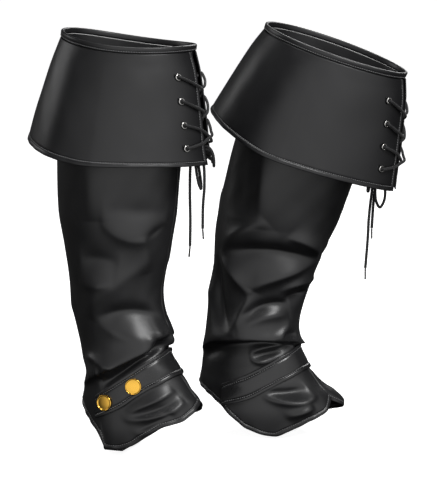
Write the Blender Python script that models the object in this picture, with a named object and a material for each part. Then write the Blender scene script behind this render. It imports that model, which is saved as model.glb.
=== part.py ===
"""Pair of boot covers in imitation leather, with turned-down laced cuffs and buttoned ankle straps.

Row frame: metres, +Z up. The wearer faces -Y and the wearer's right is -X. The origin is between the two
covers at the knees, where the wearer holds them up. Tables are in millimetres and degrees.

In a cover's own terms, "angle" goes round the leg: 0 is the front seam, 90 the -X side, 180 the back seam and
negative angles the +X side. "height" goes up the leg's axis from the floor.
"""

import math

import bpy
import numpy as np

MM = 0.001
KNEE_ABOVE_FLOOR = 520.0

# Walls and gaps
LEATHER = 1.6
CUFF_WALL = 2.0
STRAP_WALL = 1.8
ELASTIC = 1.5
GAP = 0.35
CUFF_SEAM = 0.9
SEAM_ANGLE = 0.17

# Heights on the leg
BAND_DEEP = 8.0
BAND_RAISED = 0.6
UNDER_CUFF = 396.0
ANKLE = 130.0

# Mesh steps
PANEL_COLUMNS = 12
ROWS_UNDER_CUFF = 2
ROWS_ON_SHAFT = 19
ROWS_ON_FOOT = 9
CUFF_COLUMNS = 30
CUFF_ROWS = 5
BAND_COLUMNS = 32
STRAP_COLUMNS = 26
EYELET_SIDES = 10
BUTTON_SIDES = 16

# Leg sections: how far the leather's outer face stands from the axis, and how pointed the front is.
#    height  front  back  side  point
RIGHT_SECTIONS = [
    (0.0, 113.0, 56.0, 44.0, 1.00),
    (12.0, 113.0, 58.0, 49.0, 1.00),
    (40.0, 110.0, 62.0, 53.0, 1.00),
    (70.0, 101.0, 63.0, 51.0, 1.05),
    (84.0, 89.0, 61.0, 50.0, 1.08),
    (96.0, 82.0, 58.0, 49.0, 1.08),
    (110.0, 72.0, 55.0, 48.0, 1.08),
    (130.0, 60.0, 60.0, 48.0, 1.05),
    (150.0, 59.0, 62.0, 50.0, 1.05),
    (178.0, 58.0, 65.0, 53.0, 1.05),
    (210.0, 58.0, 67.0, 56.0, 1.05),
    (278.0, 70.0, 76.0, 63.0, 1.05),
    (326.0, 78.0, 84.0, 68.0, 1.05),
    (385.0, 83.0, 85.0, 70.0, 1.05),
    (480.0, 86.0, 86.0, 72.0, 1.05),
    (565.0, 89.0, 89.0, 75.0, 1.05),
]
LEFT_SECTIONS = [
    (0.0, 112.0, 66.0, 46.0, 1.00),
    (12.0, 112.0, 71.0, 50.0, 1.00),
    (40.0, 110.0, 77.0, 54.0, 1.00),
    (57.0, 104.0, 79.0, 53.0, 1.05),
    (72.0, 90.0, 79.0, 52.0, 1.08),
    (87.0, 79.0, 77.0, 50.0, 1.08),
    (102.0, 70.0, 75.0, 49.0, 1.08),
    (118.0, 62.0, 71.0, 49.0, 1.05),
    (142.0, 57.0, 70.0, 51.0, 1.05),
    (178.0, 59.0, 70.0, 55.0, 1.05),
    (210.0, 63.0, 71.0, 58.0, 1.05),
    (278.0, 73.0, 81.0, 65.0, 1.05),
    (326.0, 82.0, 84.0, 69.0, 1.05),
    (385.0, 86.0, 86.0, 72.0, 1.05),
    (480.0, 94.0, 89.0, 76.0, 1.05),
    (565.0, 107.0, 94.0, 80.0, 1.05),
]

# The cuff, from its top (0) to its bottom (1): how much further out it stands than the leg at the mouth.
#    down  front  back  side  point
CUFF_FLARE = [
    (0.00, 2.35, 2.35, 2.35, 1.05),
    (0.17, 12.0, 10.0, 9.0, 1.12),
    (0.50, 24.0, 22.0, 20.0, 1.20),
    (1.00, 39.0, 37.0, 34.0, 1.22),
]
OPENING_ANGLE = 7.0

# How high the cuff's bottom edge hangs round the leg, the same on both sides.
#    angle  height
RIGHT_CUFF_EDGE = [(0.0, 395.0), (60.0, 396.0), (90.0, 396.0), (125.0, 404.0), (150.0, 411.0), (180.0, 415.0)]
LEFT_CUFF_EDGE = [(0.0, 394.0), (60.0, 398.0), (90.0, 399.0), (120.0, 406.0), (150.0, 416.0), (180.0, 420.0)]

# The hem's height round the foot, the same on both sides.
#    angle  height
RIGHT_HEM = [
    (0.0, 68.0),
    (20.0, 58.0),
    (38.0, 48.0),
    (53.0, 43.0),
    (65.0, 32.0),
    (80.0, 15.0),
    (90.0, 10.0),
    (106.0, 10.0),
    (112.0, 24.0),
    (120.0, 36.0),
    (140.0, 53.0),
    (165.0, 67.0),
    (180.0, 70.0),
]
LEFT_HEM = [
    (0.0, 52.0),
    (20.0, 36.0),
    (40.0, 26.0),
    (60.0, 11.0),
    (70.0, 4.0),
    (76.0, 5.0),
    (90.0, 14.0),
    (110.0, 34.0),
    (120.0, 46.0),
    (140.0, 59.0),
    (165.0, 67.0),
    (180.0, 70.0),
]

# The ankle strap's edges round the foot, the same on both sides.
#    angle  low  high
RIGHT_STRAP = [
    (0.0, 103.0, 139.0),
    (12.0, 104.0, 137.0),
    (50.0, 94.0, 125.0),
    (70.0, 81.0, 114.0),
    (90.0, 63.0, 100.0),
    (116.0, 51.0, 82.0),
]
LEFT_STRAP = [
    (0.0, 93.0, 128.0),
    (12.0, 93.0, 126.0),
    (50.0, 82.0, 113.0),
    (70.0, 70.0, 102.0),
    (90.0, 55.0, 90.0),
    (116.0, 45.0, 75.0),
]
STRAP_END_ANGLE = 116.0
STRAP_CLEAR = 1.1
STRAP_FLATTENS = 12.0

# Buttons, on the strap's outer end
#          angle  height
BUTTONS = [(101.0, 74.0), (69.5, 96.0)]
BUTTON_RADIUS = 11.0
BUTTON_HIGH = 4.0
BUTTON_CLEAR = 0.4

# Eyelets and lace
EYELETS_DOWN = [0.20, 0.405, 0.61, 0.81]
EYELET_FROM_EDGE = 34.0
EYELET_FLANGE = 4.6
EYELET_HOLE = 2.7
EYELET_BARREL = 3.2
EYELET_FLANGE_THICK = 0.8
LACE = 4.0
AGLET = 2.4
KNOT = [(0.0, -7.0), (5.0, -6.0), (8.0, -3.0), (7.0, 0.0), (8.0, 3.0), (5.0, 6.0), (0.0, 7.0)]

# The lace on its way from an eyelet to the next row's eyelet on the other edge. It starts outside, passes the
# edge and ends inside. out is measured from the cuff's outer face.
#    share of the way  share of the fall  out
LACE_UNDER_FIRST = [
    (0.20, 0.25, 3.9),
    (0.40, 0.50, 3.3),
    (0.50, 0.62, 1.4),
    (0.56, 0.72, -2.0),
    (0.62, 0.80, -4.8),
    (0.72, 0.87, -5.3),
    (0.82, 0.92, -5.2),
]
LACE_UNDER_LAST = [
    (0.20, 0.25, 3.9),
    (0.38, 0.44, 3.0),
    (0.44, 0.52, 0.0),
    (0.50, 0.60, -3.6),
    (0.60, 0.74, -5.2),
    (0.80, 0.90, -5.2),
]
LACE_OVER_FIRST = [(0.25, 0.20, 3.6), (0.50, 0.50, 2.7), (0.75, 0.80, 3.6)]
LACE_OVER_LAST = [
    (0.25, 0.20, 3.6),
    (0.38, 0.36, 4.8),
    (0.50, 0.50, 7.4),
    (0.62, 0.64, 4.8),
    (0.75, 0.80, 3.6),
]
LACE_BAR = -5.2

# The lace through an eyelet, from its inside to its outside or the other way.
#    along the cuff  out
EYELET_OUTWARDS = [(0.0, -2.4), (0.0, 0.4), (0.6, 2.4), (3.0, 4.1)]
EYELET_INWARDS = [(3.8, -5.1), (0.9, -4.2), (0.0, -1.6), (0.0, 0.6)]

# The lace from the last eyelet to the knot behind the cuff's edge.
LACE_BEHIND = 7.0
LACE_TURNS_BEHIND = 4.4
LACE_TURN_LONG = 1.6
KNOT_CLEAR = 7.8

# The knot, the bow's loops and the free ends, measured from the ankle axis and the floor.
#    forward  side  height
RIGHT_KNOT = (95.0, 0.0, 406.0)
RIGHT_LOOP_1 = [
    (101.5, 3.2, 412.5),
    (108.0, 4.0, 414.5),
    (115.5, 4.5, 413.5),
    (121.0, 5.0, 406.0),
    (122.5, 4.0, 396.0),
    (121.0, 0.0, 388.5),
    (119.0, -4.0, 396.0),
    (117.5, -5.0, 403.0),
    (112.5, -4.5, 408.5),
    (106.5, -4.0, 409.0),
]
RIGHT_LOOP_2 = [
    (97.0, 4.0, 398.0),
    (98.0, 5.5, 386.0),
    (101.0, 5.0, 368.0),
    (103.0, 0.0, 358.0),
    (101.0, -5.0, 368.0),
    (98.0, -5.5, 386.0),
    (97.0, -4.0, 398.0),
]
RIGHT_END_1 = [
    (91.0, 1.0, 398.0),
    (88.5, 1.0, 384.0),
    (88.0, 1.0, 350.0),
    (88.5, 1.0, 316.0),
    (88.0, 1.0, 281.0),
]
RIGHT_END_2 = [
    (103.5, 1.0, 403.0),
    (107.0, 0.0, 390.0),
    (107.5, -1.0, 362.0),
    (105.5, -1.0, 335.0),
    (105.0, -1.0, 305.0),
]
RIGHT_AGLETS = [[(88.0, 1.0, 280.5), (86.5, 1.0, 266.5)], [(105.0, -1.0, 304.5), (106.0, -1.0, 291.0)]]
LEFT_KNOT = (167.0, 0.0, 364.0)
LEFT_LOOP_1 = [
    (161.8, 3.8, 358.2),
    (157.8, 6.0, 351.0),
    (156.5, 3.5, 343.0),
    (156.5, -3.5, 343.0),
    (157.8, -6.0, 351.0),
    (161.8, -3.8, 358.2),
]
LEFT_LOOP_2 = [
    (168.0, 4.2, 355.6),
    (167.0, 4.5, 346.0),
    (168.0, 4.0, 331.0),
    (173.0, 1.5, 321.0),
    (178.5, -2.0, 331.0),
    (178.5, -4.5, 346.0),
    (173.0, -4.5, 357.5),
]
LEFT_END_1 = [(167.5, -3.0, 355.5), (165.0, -5.0, 345.0), (162.5, -6.0, 322.0), (161.0, -5.0, 291.0)]
LEFT_END_2 = [
    (163.2, 0.5, 356.2),
    (162.0, 0.5, 345.0),
    (158.5, 2.0, 310.0),
    (157.0, 2.0, 278.0),
    (155.0, 2.0, 250.0),
    (154.0, 2.0, 237.0),
]
LEFT_AGLETS = [[(161.0, -5.0, 290.5), (161.0, -5.0, 276.5)], [(154.0, 2.0, 236.5), (154.0, 2.0, 221.0)]]

# Stirrup, seen from the front: how far out and how high its outer face runs.
#            out    height
STIRRUP = [(44.8, 27.0), (44.8, 14.0), (42.5, 8.0), (37.0, 5.0), (0.0, 4.0)]
STIRRUP_LONG = 24.0

# One degree round the leg, for the folds' lengths
MM_PER_DEGREE = 1.1

# The cuff's height is a share of its depth, which grows downwards, so its step for a normal is negative.
DOWN_STEP = -0.003


class Cover:
    """One cover: where it stands, how its leg leans, and its folds."""

    def __init__(self, name, across, ahead, yaw, outer, rim, dip, stirrup, tables, hanging):
        self.name = name
        self.across = across
        self.ahead = ahead
        self.yaw = math.radians(yaw)
        self.outer = outer
        self.rim = rim
        self.dip = dip
        self.stirrup = stirrup
        self.leans, self.sections, self.cuff_edge, self.hem, self.strap, self.folds = tables
        self.knot, self.loops, self.ends, self.aglets = hanging


# How far the leg leans forward at each height.
#    height  degrees
RIGHT_LEANS = [
    (0.0, 0.0),
    (120.0, -3.0),
    (180.0, -6.0),
    (230.0, -1.0),
    (385.0, 1.0),
    (430.0, 5.0),
    (565.0, 6.0),
]
LEFT_LEANS = [
    (0.0, 0.0),
    (110.0, 0.0),
    (160.0, 7.0),
    (210.0, 10.0),
    (280.0, 14.0),
    (340.0, 16.0),
    (420.0, 18.0),
    (565.0, 19.0),
]
LEG_LONG = 620.0

# Folds: each runs from one place on the leg to another, bows on its way, and stands out by its rise.
# A trough has a rise below zero.
#    angle  height  angle  height  bow  wide  rise
RIGHT_FOLDS = [
    # Outer side, from the cuff down
    (16, 314, 92, 324, -26, 9, 5.0),
    (24, 330, 82, 335, -4, 13, -4.5),
    (100, 272, 98, 392, 0, 9, 3.0),
    (92, 262, 124, 280, 4, 9, -4.0),
    (80, 230, 130, 228, 8, 10, 4.0),
    (24, 206, 102, 214, -8, 10, -5.0),
    (20, 182, 106, 190, -8, 8, 5.0),
    (30, 268, 116, 200, 0, 11, 2.5),
    (86, 130, 122, 140, 0, 6, 2.0),
    (-6, 172, 156, 92, 2, 9, 8.0),
    (8, 148, 108, 98, 2, 7, -5.0),
    (-26, 158, 18, 162, 0, 11, 5.0),
    (26, 66, 76, 44, 0, 6, 2.5),
    # Back
    (146, 256, 214, 248, -6, 11, 4.0),
    (142, 192, 218, 184, 6, 10, 4.5),
    (150, 146, 212, 150, -5, 8, 3.5),
    # Inner side
    (-94, 332, -22, 320, -20, 9, 4.5),
    (-86, 344, -30, 340, -4, 13, -4.0),
    (-98, 384, -104, 286, 0, 10, 3.0),
    (-130, 238, -78, 228, 7, 10, 4.0),
    (-102, 216, -28, 206, -8, 10, -4.5),
    (-108, 190, -24, 184, -8, 9, 5.0),
    (-152, 94, 2, 170, 0, 9, 7.0),
    (-104, 100, -12, 148, 0, 7, -4.5),
    (-74, 42, -26, 64, 0, 6, 2.5),
]
LEFT_FOLDS = [
    # Inner side, from the cuff down
    (14, 278, 66, 296, 0, 9, 4.0),
    (8, 272, 146, 240, 18, 8, -6.5),
    (28, 262, 114, 240, 0, 9, 5.5),
    (103, 166, 140, 240, 3, 8, -5.5),
    (105, 166, 124, 232, 20, 10, 5.0),
    (12, 204, 50, 214, 0, 6, -4.0),
    (14, 220, 52, 230, 0, 7, 3.5),
    (12, 184, 100, 170, 20, 9, 5.5),
    (-16, 122, 178, 110, 24, 9, 8.0),
    (36, 122, 86, 114, 0, 8, -5.5),
    (40, 102, 88, 100, 0, 6, 2.5),
    (22, 62, 76, 54, -6, 6, 2.5),
    (-24, 122, 14, 130, 0, 8, 4.5),
    # Back
    (140, 300, 214, 312, 6, 11, 4.0),
    (146, 206, 216, 214, -6, 10, 4.5),
    (150, 160, 212, 156, 5, 8, 3.5),
    # Outer side
    (-150, 242, -10, 274, 16, 9, -6.0),
    (-116, 240, -30, 260, 0, 9, 5.0),
    (-140, 236, -106, 168, 3, 8, -5.0),
    (-52, 226, -14, 218, 0, 7, 3.5),
    (-100, 172, -14, 186, 18, 9, 5.5),
    (-178, 112, 10, 122, 20, 9, 7.0),
    (-86, 116, -38, 124, 0, 8, -5.0),
    (-76, 54, -24, 62, -6, 6, 2.5),
    (-52, 50, -6, 40, 0, 20, 16.0),
]

RIGHT_TABLES = (RIGHT_LEANS, RIGHT_SECTIONS, RIGHT_CUFF_EDGE, RIGHT_HEM, RIGHT_STRAP, RIGHT_FOLDS)
LEFT_TABLES = (LEFT_LEANS, LEFT_SECTIONS, LEFT_CUFF_EDGE, LEFT_HEM, LEFT_STRAP, LEFT_FOLDS)
RIGHT_HANGING = (RIGHT_KNOT, [RIGHT_LOOP_1, RIGHT_LOOP_2], [RIGHT_END_1, RIGHT_END_2], RIGHT_AGLETS)
LEFT_HANGING = (LEFT_KNOT, [LEFT_LOOP_1, LEFT_LOOP_2], [LEFT_END_1, LEFT_END_2], LEFT_AGLETS)
RIGHT = Cover("right", -75.0, -115.0, 4.0, 1, 557.0, 7.0, -8.0, RIGHT_TABLES, RIGHT_HANGING)
LEFT = Cover("left", 66.0, 25.0, 0.0, -1, 553.0, 0.0, 26.0, LEFT_TABLES, LEFT_HANGING)
COVERS = [RIGHT, LEFT]


def smooth(at, table, column):
    """A cubic through a table's rows that never overshoots them."""
    rows = np.array(table, float)
    knots, values = rows[:, 0], rows[:, column]
    slope = np.diff(values) / np.diff(knots)
    both = slope[:-1] * slope[1:]
    tangent = np.zeros(len(values))
    tangent[1:-1] = np.where(both > 0, 2 * both / np.where(both > 0, slope[:-1] + slope[1:], 1.0), 0.0)
    tangent[0], tangent[-1] = slope[0], slope[-1]
    at = np.clip(at, knots[0], knots[-1])
    i = np.clip(np.searchsorted(knots, at) - 1, 0, len(knots) - 2)
    step = knots[i + 1] - knots[i]
    t = (at - knots[i]) / step
    return (
        (2 * t**3 - 3 * t**2 + 1) * values[i]
        + (t**3 - 2 * t**2 + t) * step * tangent[i]
        + (3 * t**2 - 2 * t**3) * values[i + 1]
        + (t**3 - t**2) * step * tangent[i + 1]
    )


def stand(cover, forward, side, height):
    """Row place of points given from the cover's ankle axis and the floor. side is positive towards -X."""
    c, s = math.cos(cover.yaw), math.sin(cover.yaw)
    x = cover.across - side * c - forward * s
    y = -cover.ahead - forward * c + side * s
    return np.stack([x, y, height - KNEE_ABOVE_FLOOR + 0 * x], axis=-1) * MM


def lean_axis(cover):
    """The leg axis as a fine table: height along it, how far forward it is, its level, and its lean."""
    along = np.arange(0.0, LEG_LONG + 1.0)
    lean = np.radians(smooth(along, cover.leans, 1))
    forward = np.concatenate([[0.0], np.cumsum(np.sin(lean[:-1]))])
    level = np.concatenate([[0.0], np.cumsum(np.cos(lean[:-1]))])
    return along, forward, level, lean


def on_leg(cover, forward, side, height):
    """Row place of points given across the leg's own, leaning axis."""
    along, ahead, level, lean = lean_axis(cover)
    angle = np.interp(height, along, lean)
    return stand(
        cover,
        np.interp(height, along, ahead) + forward * np.cos(angle),
        side,
        np.interp(height, along, level) - forward * np.sin(angle),
    )


def reach(angle, front, back, side, point):
    """Forward and sideways reach of a section at an angle: two half ovals, the front one pointed."""
    turn = np.radians(angle)
    c, s = np.cos(turn), np.sin(turn)
    point = np.where(c > 0, point, 1.0)
    forward = np.where(c > 0, front, back) * np.sign(c) * np.abs(c) ** point
    return forward, side * np.sign(s) * np.abs(s) ** point


def mouth_height(cover, angle):
    """The rim's height, which dips at the sides."""
    return cover.rim - cover.dip * np.sin(np.radians(angle)) ** 2


def fold_rise(cover, angle, height):
    """How far the folds push the leather out."""
    rise = np.zeros(np.broadcast(angle, height).shape)
    for angle_1, height_1, angle_2, height_2, bow, wide, high in cover.folds:
        run = np.array([(angle_2 - angle_1) * MM_PER_DEGREE, height_2 - height_1])
        long = np.hypot(*run)
        for whole_turn in (-360, 0, 360):
            x, y = (angle + whole_turn - angle_1) * MM_PER_DEGREE, height - height_1
            along = (x * run[0] + y * run[1]) / long**2
            swell = np.clip(1 - (2 * along - 1) ** 2, 0, 1)
            across = (y * run[0] - x * run[1]) / long - bow * swell
            rise += high * swell * np.exp(-((across / wide) ** 2))
    return rise * strap_slack(cover, angle, height)


def strap_slack(cover, angle, height):
    """0 under the ankle strap, which holds the leather flat, and 1 away from it."""
    turn = np.abs(angle)
    low, high = smooth(turn, cover.strap, 1), smooth(turn, cover.strap, 2)
    over = np.maximum(np.maximum(low - height, height - high), turn - STRAP_END_ANGLE)
    share = np.clip(over / STRAP_FLATTENS, 0, 1)
    return share * share * (3 - 2 * share)


def leg_face(cover, angle, height):
    """The leather's outer face on the leg."""
    forward, side = reach(angle, *[smooth(height, cover.sections, column) for column in (1, 2, 3, 4)])
    turn = np.radians(angle)
    push = fold_rise(cover, angle, height)
    return on_leg(cover, forward + push * np.cos(turn), side + push * np.sin(turn), height)


def cuff_face(cover, angle, down):
    """The cuff's outer face, from its top (down = 0) to its bottom edge (down = 1)."""
    mouth = [smooth(cover.rim, cover.sections, column) for column in (1, 2, 3)]
    flare = [smooth(down, CUFF_FLARE, column) for column in (1, 2, 3)]
    forward, side = reach(angle, *[a + b for a, b in zip(mouth, flare)], smooth(down, CUFF_FLARE, 4))
    top = mouth_height(cover, angle) - BAND_DEEP - CUFF_SEAM
    height = top + (smooth(np.abs(angle), cover.cuff_edge, 1) - top) * down
    return on_leg(cover, forward, side, height)


def normals(face, cover, angle, at, step=0.5):
    """Outward normals of a face, from small steps round it and up it."""
    round_it = face(cover, angle + 0.5, at) - face(cover, angle - 0.5, at)
    along = face(cover, angle, at + step) - face(cover, angle, at - step)
    found = np.cross(along, round_it)
    return found / np.linalg.norm(found, axis=-1, keepdims=True)


def moved_out(face, cover, angle, at, out, flat_edges=False):
    """A face's points moved out along its normals. flat_edges keeps seam edges in the seam's plane."""
    away = normals(face, cover, angle, at, DOWN_STEP if face is cuff_face else 0.5)
    if flat_edges:
        seam = side_direction(cover)
        for edge in (0, -1):
            away[:, edge] -= (away[:, edge] @ seam)[:, None] * seam
        away /= np.linalg.norm(away, axis=-1, keepdims=True)
    return face(cover, angle, at) + away * out * MM


def side_direction(cover):
    """The row direction across the cover, out of its seams' plane."""
    return np.array([-math.cos(cover.yaw), math.sin(cover.yaw), 0.0])


def material(name, colour, metallic, roughness):
    made = bpy.data.materials.new(name)
    made.use_nodes = True
    shader = made.node_tree.nodes["Principled BSDF"]
    shader.inputs["Base Color"].default_value = (*colour, 1.0)
    shader.inputs["Metallic"].default_value = metallic
    shader.inputs["Roughness"].default_value = roughness
    return made


def body(name, points, faces, looks):
    """A closed mesh object, turned so that its faces point out."""
    points, faces = np.asarray(points, float), np.asarray(faces, int)
    a, b, c = (points[faces[:, i]] for i in range(3))
    if (a * np.cross(b, c)).sum() < 0:
        faces = faces[:, ::-1]
    mesh = bpy.data.meshes.new(name)
    mesh.from_pydata(points.tolist(), [], faces.tolist())
    made = bpy.data.objects.new(name, mesh)
    made.data.materials.append(material(name, *looks))
    bpy.context.scene.collection.objects.link(made)
    return made


def strips(a, b):
    """Triangles between two rows of point numbers."""
    pairs = zip(a[:-1], a[1:], b[:-1], b[1:])
    return [t for p, q, r, s in pairs for t in ((p, q, s), (p, s, r))]


def wall(name, outer, inner, looks, ring=False):
    """A wall between two grids of points, as rows of places round the form."""
    rows, columns = outer.shape[:2]
    points = np.concatenate([outer.reshape(-1, 3), inner.reshape(-1, 3)])
    out = np.arange(rows * columns).reshape(rows, columns)
    if ring:
        out = np.concatenate([out, out[:, :1]], axis=1)
    inn = out + rows * columns
    faces = []
    for row in range(rows - 1):
        faces += strips(out[row], out[row + 1]) + strips(inn[row + 1], inn[row])
    faces += strips(inn[0], out[0]) + strips(out[-1], inn[-1])
    if not ring:
        faces += strips(out[:, 0], inn[:, 0]) + strips(inn[:, -1], out[:, -1])
    return body(name, points, faces, looks)


def turned(name, profile, centre, axis, looks, count):
    """A turned solid. The profile is a closed loop of (radius, along), or starts and ends on the axis."""
    axis = axis / np.linalg.norm(axis)
    one = np.cross(axis, [1.0, 0.2, 0.0] if abs(axis[2]) > 0.9 else [0.0, 0.0, 1.0])
    one /= np.linalg.norm(one)
    two = np.cross(axis, one)
    closed = profile[0][0] > 0
    points, rings = [], []
    for radius, along in profile:
        middle = centre + axis * along * MM
        if radius == 0:
            rings.append([len(points)] * (count + 1))
            points.append(middle)
            continue
        first = len(points)
        rings.append([first + i % count for i in range(count + 1)])
        for turn in np.linspace(0, 2 * math.pi, count, endpoint=False):
            points.append(middle + (one * math.cos(turn) + two * math.sin(turn)) * radius * MM)
    faces = []
    for a, b in zip(rings, rings[1:] + rings[:1] if closed else rings[1:]):
        faces += [t for t in strips(a, b) if len(set(t)) == 3]
    return body(name, points, faces, looks)


def cord(name, places, diameter, looks, per_leg=4):
    """A round cord along a smooth curve through chosen places, with closed ends."""
    route = smooth_route(np.array(places), per_leg)
    data = bpy.data.curves.new(name, "CURVE")
    data.dimensions = "3D"
    data.bevel_depth = diameter / 2 * MM
    data.bevel_resolution = 2
    data.use_fill_caps = True
    spline = data.splines.new("POLY")
    spline.points.add(len(route) - 1)
    for point, place in zip(spline.points, route):
        point.co = (*place, 1.0)
    data.materials.append(material(name, *looks))
    made = bpy.data.objects.new(name, data)
    bpy.context.scene.collection.objects.link(made)
    return made


def smooth_route(places, per_leg):
    """Points on a curve that runs through each place, per_leg of them to a leg."""
    padded = np.concatenate([[2 * places[0] - places[1]], places, [2 * places[-1] - places[-2]]])
    route = []
    for a, b, c, d in zip(padded[:-3], padded[1:-2], padded[2:-1], padded[3:]):
        for t in np.linspace(0, 1, per_leg, endpoint=False):
            bend = (2 * a - 5 * b + 4 * c - d) * t**2 + (3 * b - a - 3 * c + d) * t**3
            route.append(0.5 * (2 * b + (c - a) * t + bend))
    route.append(places[-1])
    return np.array(route)


BLACK_LEATHER = ((0.022, 0.022, 0.024), 0.0, 0.42)
BLACK_CORD = ((0.012, 0.012, 0.013), 0.0, 0.8)
BLACK_PLASTIC = ((0.015, 0.015, 0.016), 0.0, 0.35)
NICKEL = ((0.62, 0.62, 0.64), 1.0, 0.25)
GOLD = ((0.83, 0.56, 0.16), 1.0, 0.2)


def hem_height(cover, angle):
    return smooth(np.abs(angle), cover.hem, 1)


def panel(cover, side):
    """A leg panel. side is 1 for the -X half and -1 for the +X half."""
    angles = side * np.linspace(SEAM_ANGLE, 180 - SEAM_ANGLE, PANEL_COLUMNS + 1)
    top = mouth_height(cover, angles) - BAND_DEEP - GAP
    covered = np.linspace(0, 1, ROWS_UNDER_CUFF, endpoint=False)[:, None]
    bare = np.linspace(UNDER_CUFF, ANKLE, ROWS_ON_SHAFT, endpoint=False)[:, None]
    down = np.linspace(0, 1, ROWS_ON_FOOT + 1)[:, None]
    heights = np.concatenate(
        [
            top + (UNDER_CUFF - top) * covered,
            bare + 0 * angles,
            ANKLE + (hem_height(cover, angles) - ANKLE) * down,
        ]
    )
    angle = np.broadcast_to(angles, heights.shape)
    outer = leg_face(cover, angle, heights)
    inner = moved_out(leg_face, cover, angle, heights, -LEATHER, flat_edges=True)
    which = "outer" if side == cover.outer else "inner"
    wall(f"{cover.name}_{which}_panel", outer, inner, BLACK_LEATHER)


def top_band(cover):
    angles = np.linspace(0, 360, BAND_COLUMNS, endpoint=False)
    heights = mouth_height(cover, angles) - np.array([[0.0], [BAND_DEEP]])
    angle = np.broadcast_to(angles, heights.shape)
    out = GAP + CUFF_WALL + BAND_RAISED
    outer = moved_out(leg_face, cover, angle, heights, out)
    inner = moved_out(leg_face, cover, angle, heights, -LEATHER)
    wall(f"{cover.name}_top_band", outer, inner, BLACK_LEATHER, ring=True)


def eyelet_angle(cover, side, down):
    """The angle at which the cuff's face has run EYELET_FROM_EDGE from its front edge."""
    angles = side * np.linspace(OPENING_ANGLE, 90.0, 400)
    line = cuff_face(cover, angles, np.full(400, down)) / MM
    run = np.concatenate([[0.0], np.cumsum(np.linalg.norm(np.diff(line, axis=0), axis=1))])
    return float(np.interp(EYELET_FROM_EDGE, run, angles))


def eyelet_place(cover, side, row):
    """An eyelet's place on the cuff's outer face, and the way out."""
    down = np.array([EYELETS_DOWN[row]])
    angle = np.array([eyelet_angle(cover, side, down[0])])
    return cuff_face(cover, angle, down)[0], normals(cuff_face, cover, angle, down, DOWN_STEP)[0]


def cuff(cover):
    angles = np.linspace(OPENING_ANGLE, 360 - OPENING_ANGLE, CUFF_COLUMNS + 1)
    angles = np.where(angles > 180, angles - 360, angles)
    downs = np.linspace(0, 1, CUFF_ROWS + 1)[:, None] + 0 * angles
    angle = np.broadcast_to(angles, downs.shape)
    outer = cuff_face(cover, angle, downs)
    inner = moved_out(cuff_face, cover, angle, downs, -CUFF_WALL)
    made = wall(f"{cover.name}_cuff", outer, inner, BLACK_LEATHER)
    drill = [(0, -6.0), (EYELET_BARREL + GAP, -6.0), (EYELET_BARREL + GAP, 4.0), (0, 4.0)]
    for side in (1, -1):
        for row in range(len(EYELETS_DOWN)):
            place, out = eyelet_place(cover, side, row)
            cutter = turned(f"{made.name}_cut_{side}_{row}", drill, place, out, NICKEL, 8)
            cutter.hide_render = True
            cutter.display_type = "WIRE"
            cut = made.modifiers.new(cutter.name, "BOOLEAN")
            cut.operation = "DIFFERENCE"
            cut.solver = "EXACT"
            cut.object = cutter


def eyelets(cover):
    profile = [
        (EYELET_HOLE, -1.6),
        (EYELET_BARREL, -1.6),
        (EYELET_BARREL, GAP + 0.15),
        (EYELET_FLANGE, GAP + 0.15),
        (EYELET_FLANGE - 0.4, GAP + 0.15 + EYELET_FLANGE_THICK),
        (EYELET_HOLE + 0.3, GAP + 0.15 + EYELET_FLANGE_THICK),
    ]
    for side, where in ((cover.outer, "outer"), (-cover.outer, "inner")):
        for row in range(len(EYELETS_DOWN)):
            place, out = eyelet_place(cover, side, row)
            turned(f"{cover.name}_eyelet_{where}_{row + 1}", profile, place, out, NICKEL, EYELET_SIDES)


def through_eyelet(cover, side, row, towards, outwards):
    """Places of the lace through an eyelet and round its edge: from inside to outside, or the other way.
    towards is the next place in the cuff's terms."""
    place, out = eyelet_place(cover, side, row)
    run = cuff_place(cover, *towards) - place
    run -= out * (run @ out)
    run /= np.linalg.norm(run)
    steps = EYELET_OUTWARDS if outwards else EYELET_INWARDS
    return [place + (run * along + out * off) * MM for along, off in steps]


def cuff_place(cover, angle, down, out):
    return moved_out(cuff_face, cover, np.array([angle]), np.array([down]), out)[0]


def crossing(cover, side, row, steps):
    """Places of the lace, in the cuff's terms, between an eyelet and the next row's on the other edge."""
    start, end = EYELETS_DOWN[row], EYELETS_DOWN[row + 1]
    first, last = eyelet_angle(cover, side, start), eyelet_angle(cover, -side, end)
    return [(first + (last - first) * share, start + (end - start) * fall, out) for share, fall, out in steps]


def strand(cover, side, under, over):
    """One half of the lace, from the bar behind the top row to the last row."""
    route = [(side * 12.0, EYELETS_DOWN[0], LACE_BAR)]
    places = [cuff_place(cover, *route[0])]
    places += through_eyelet(cover, side, 0, route[0], outwards=False)
    for row, steps in enumerate([under, under, over]):
        way = crossing(cover, side, row, steps)
        places += through_eyelet(cover, side, row, way[0], outwards=True)[2:]
        places += [cuff_place(cover, *step) for step in way]
        side = -side
        if steps is under:
            places += through_eyelet(cover, side, row + 1, way[-1], outwards=False)
    places += through_eyelet(cover, side, 3, way[-1], outwards=True)[:1:-1]
    knot = stand(cover, *[np.array(v) for v in cover.knot])
    place, out = eyelet_place(cover, side, 3)
    places += [place + out * off * MM for off in (0.4, -1.8)]
    run = knot - (place - out * LACE_BEHIND * MM)
    run /= np.linalg.norm(run)
    places.append(place + (run * LACE_TURN_LONG - out * LACE_TURNS_BEHIND) * MM)
    places.append(place + (run - out) * LACE_BEHIND * MM)
    places.append(knot - run * KNOT_CLEAR * MM)
    return places


def lace(cover):
    one = strand(cover, 1, LACE_UNDER_FIRST, LACE_OVER_FIRST)
    two = strand(cover, -1, LACE_UNDER_LAST, LACE_OVER_LAST)
    cord(f"{cover.name}_lace", one[::-1] + two, LACE, BLACK_CORD, per_leg=1)


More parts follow.
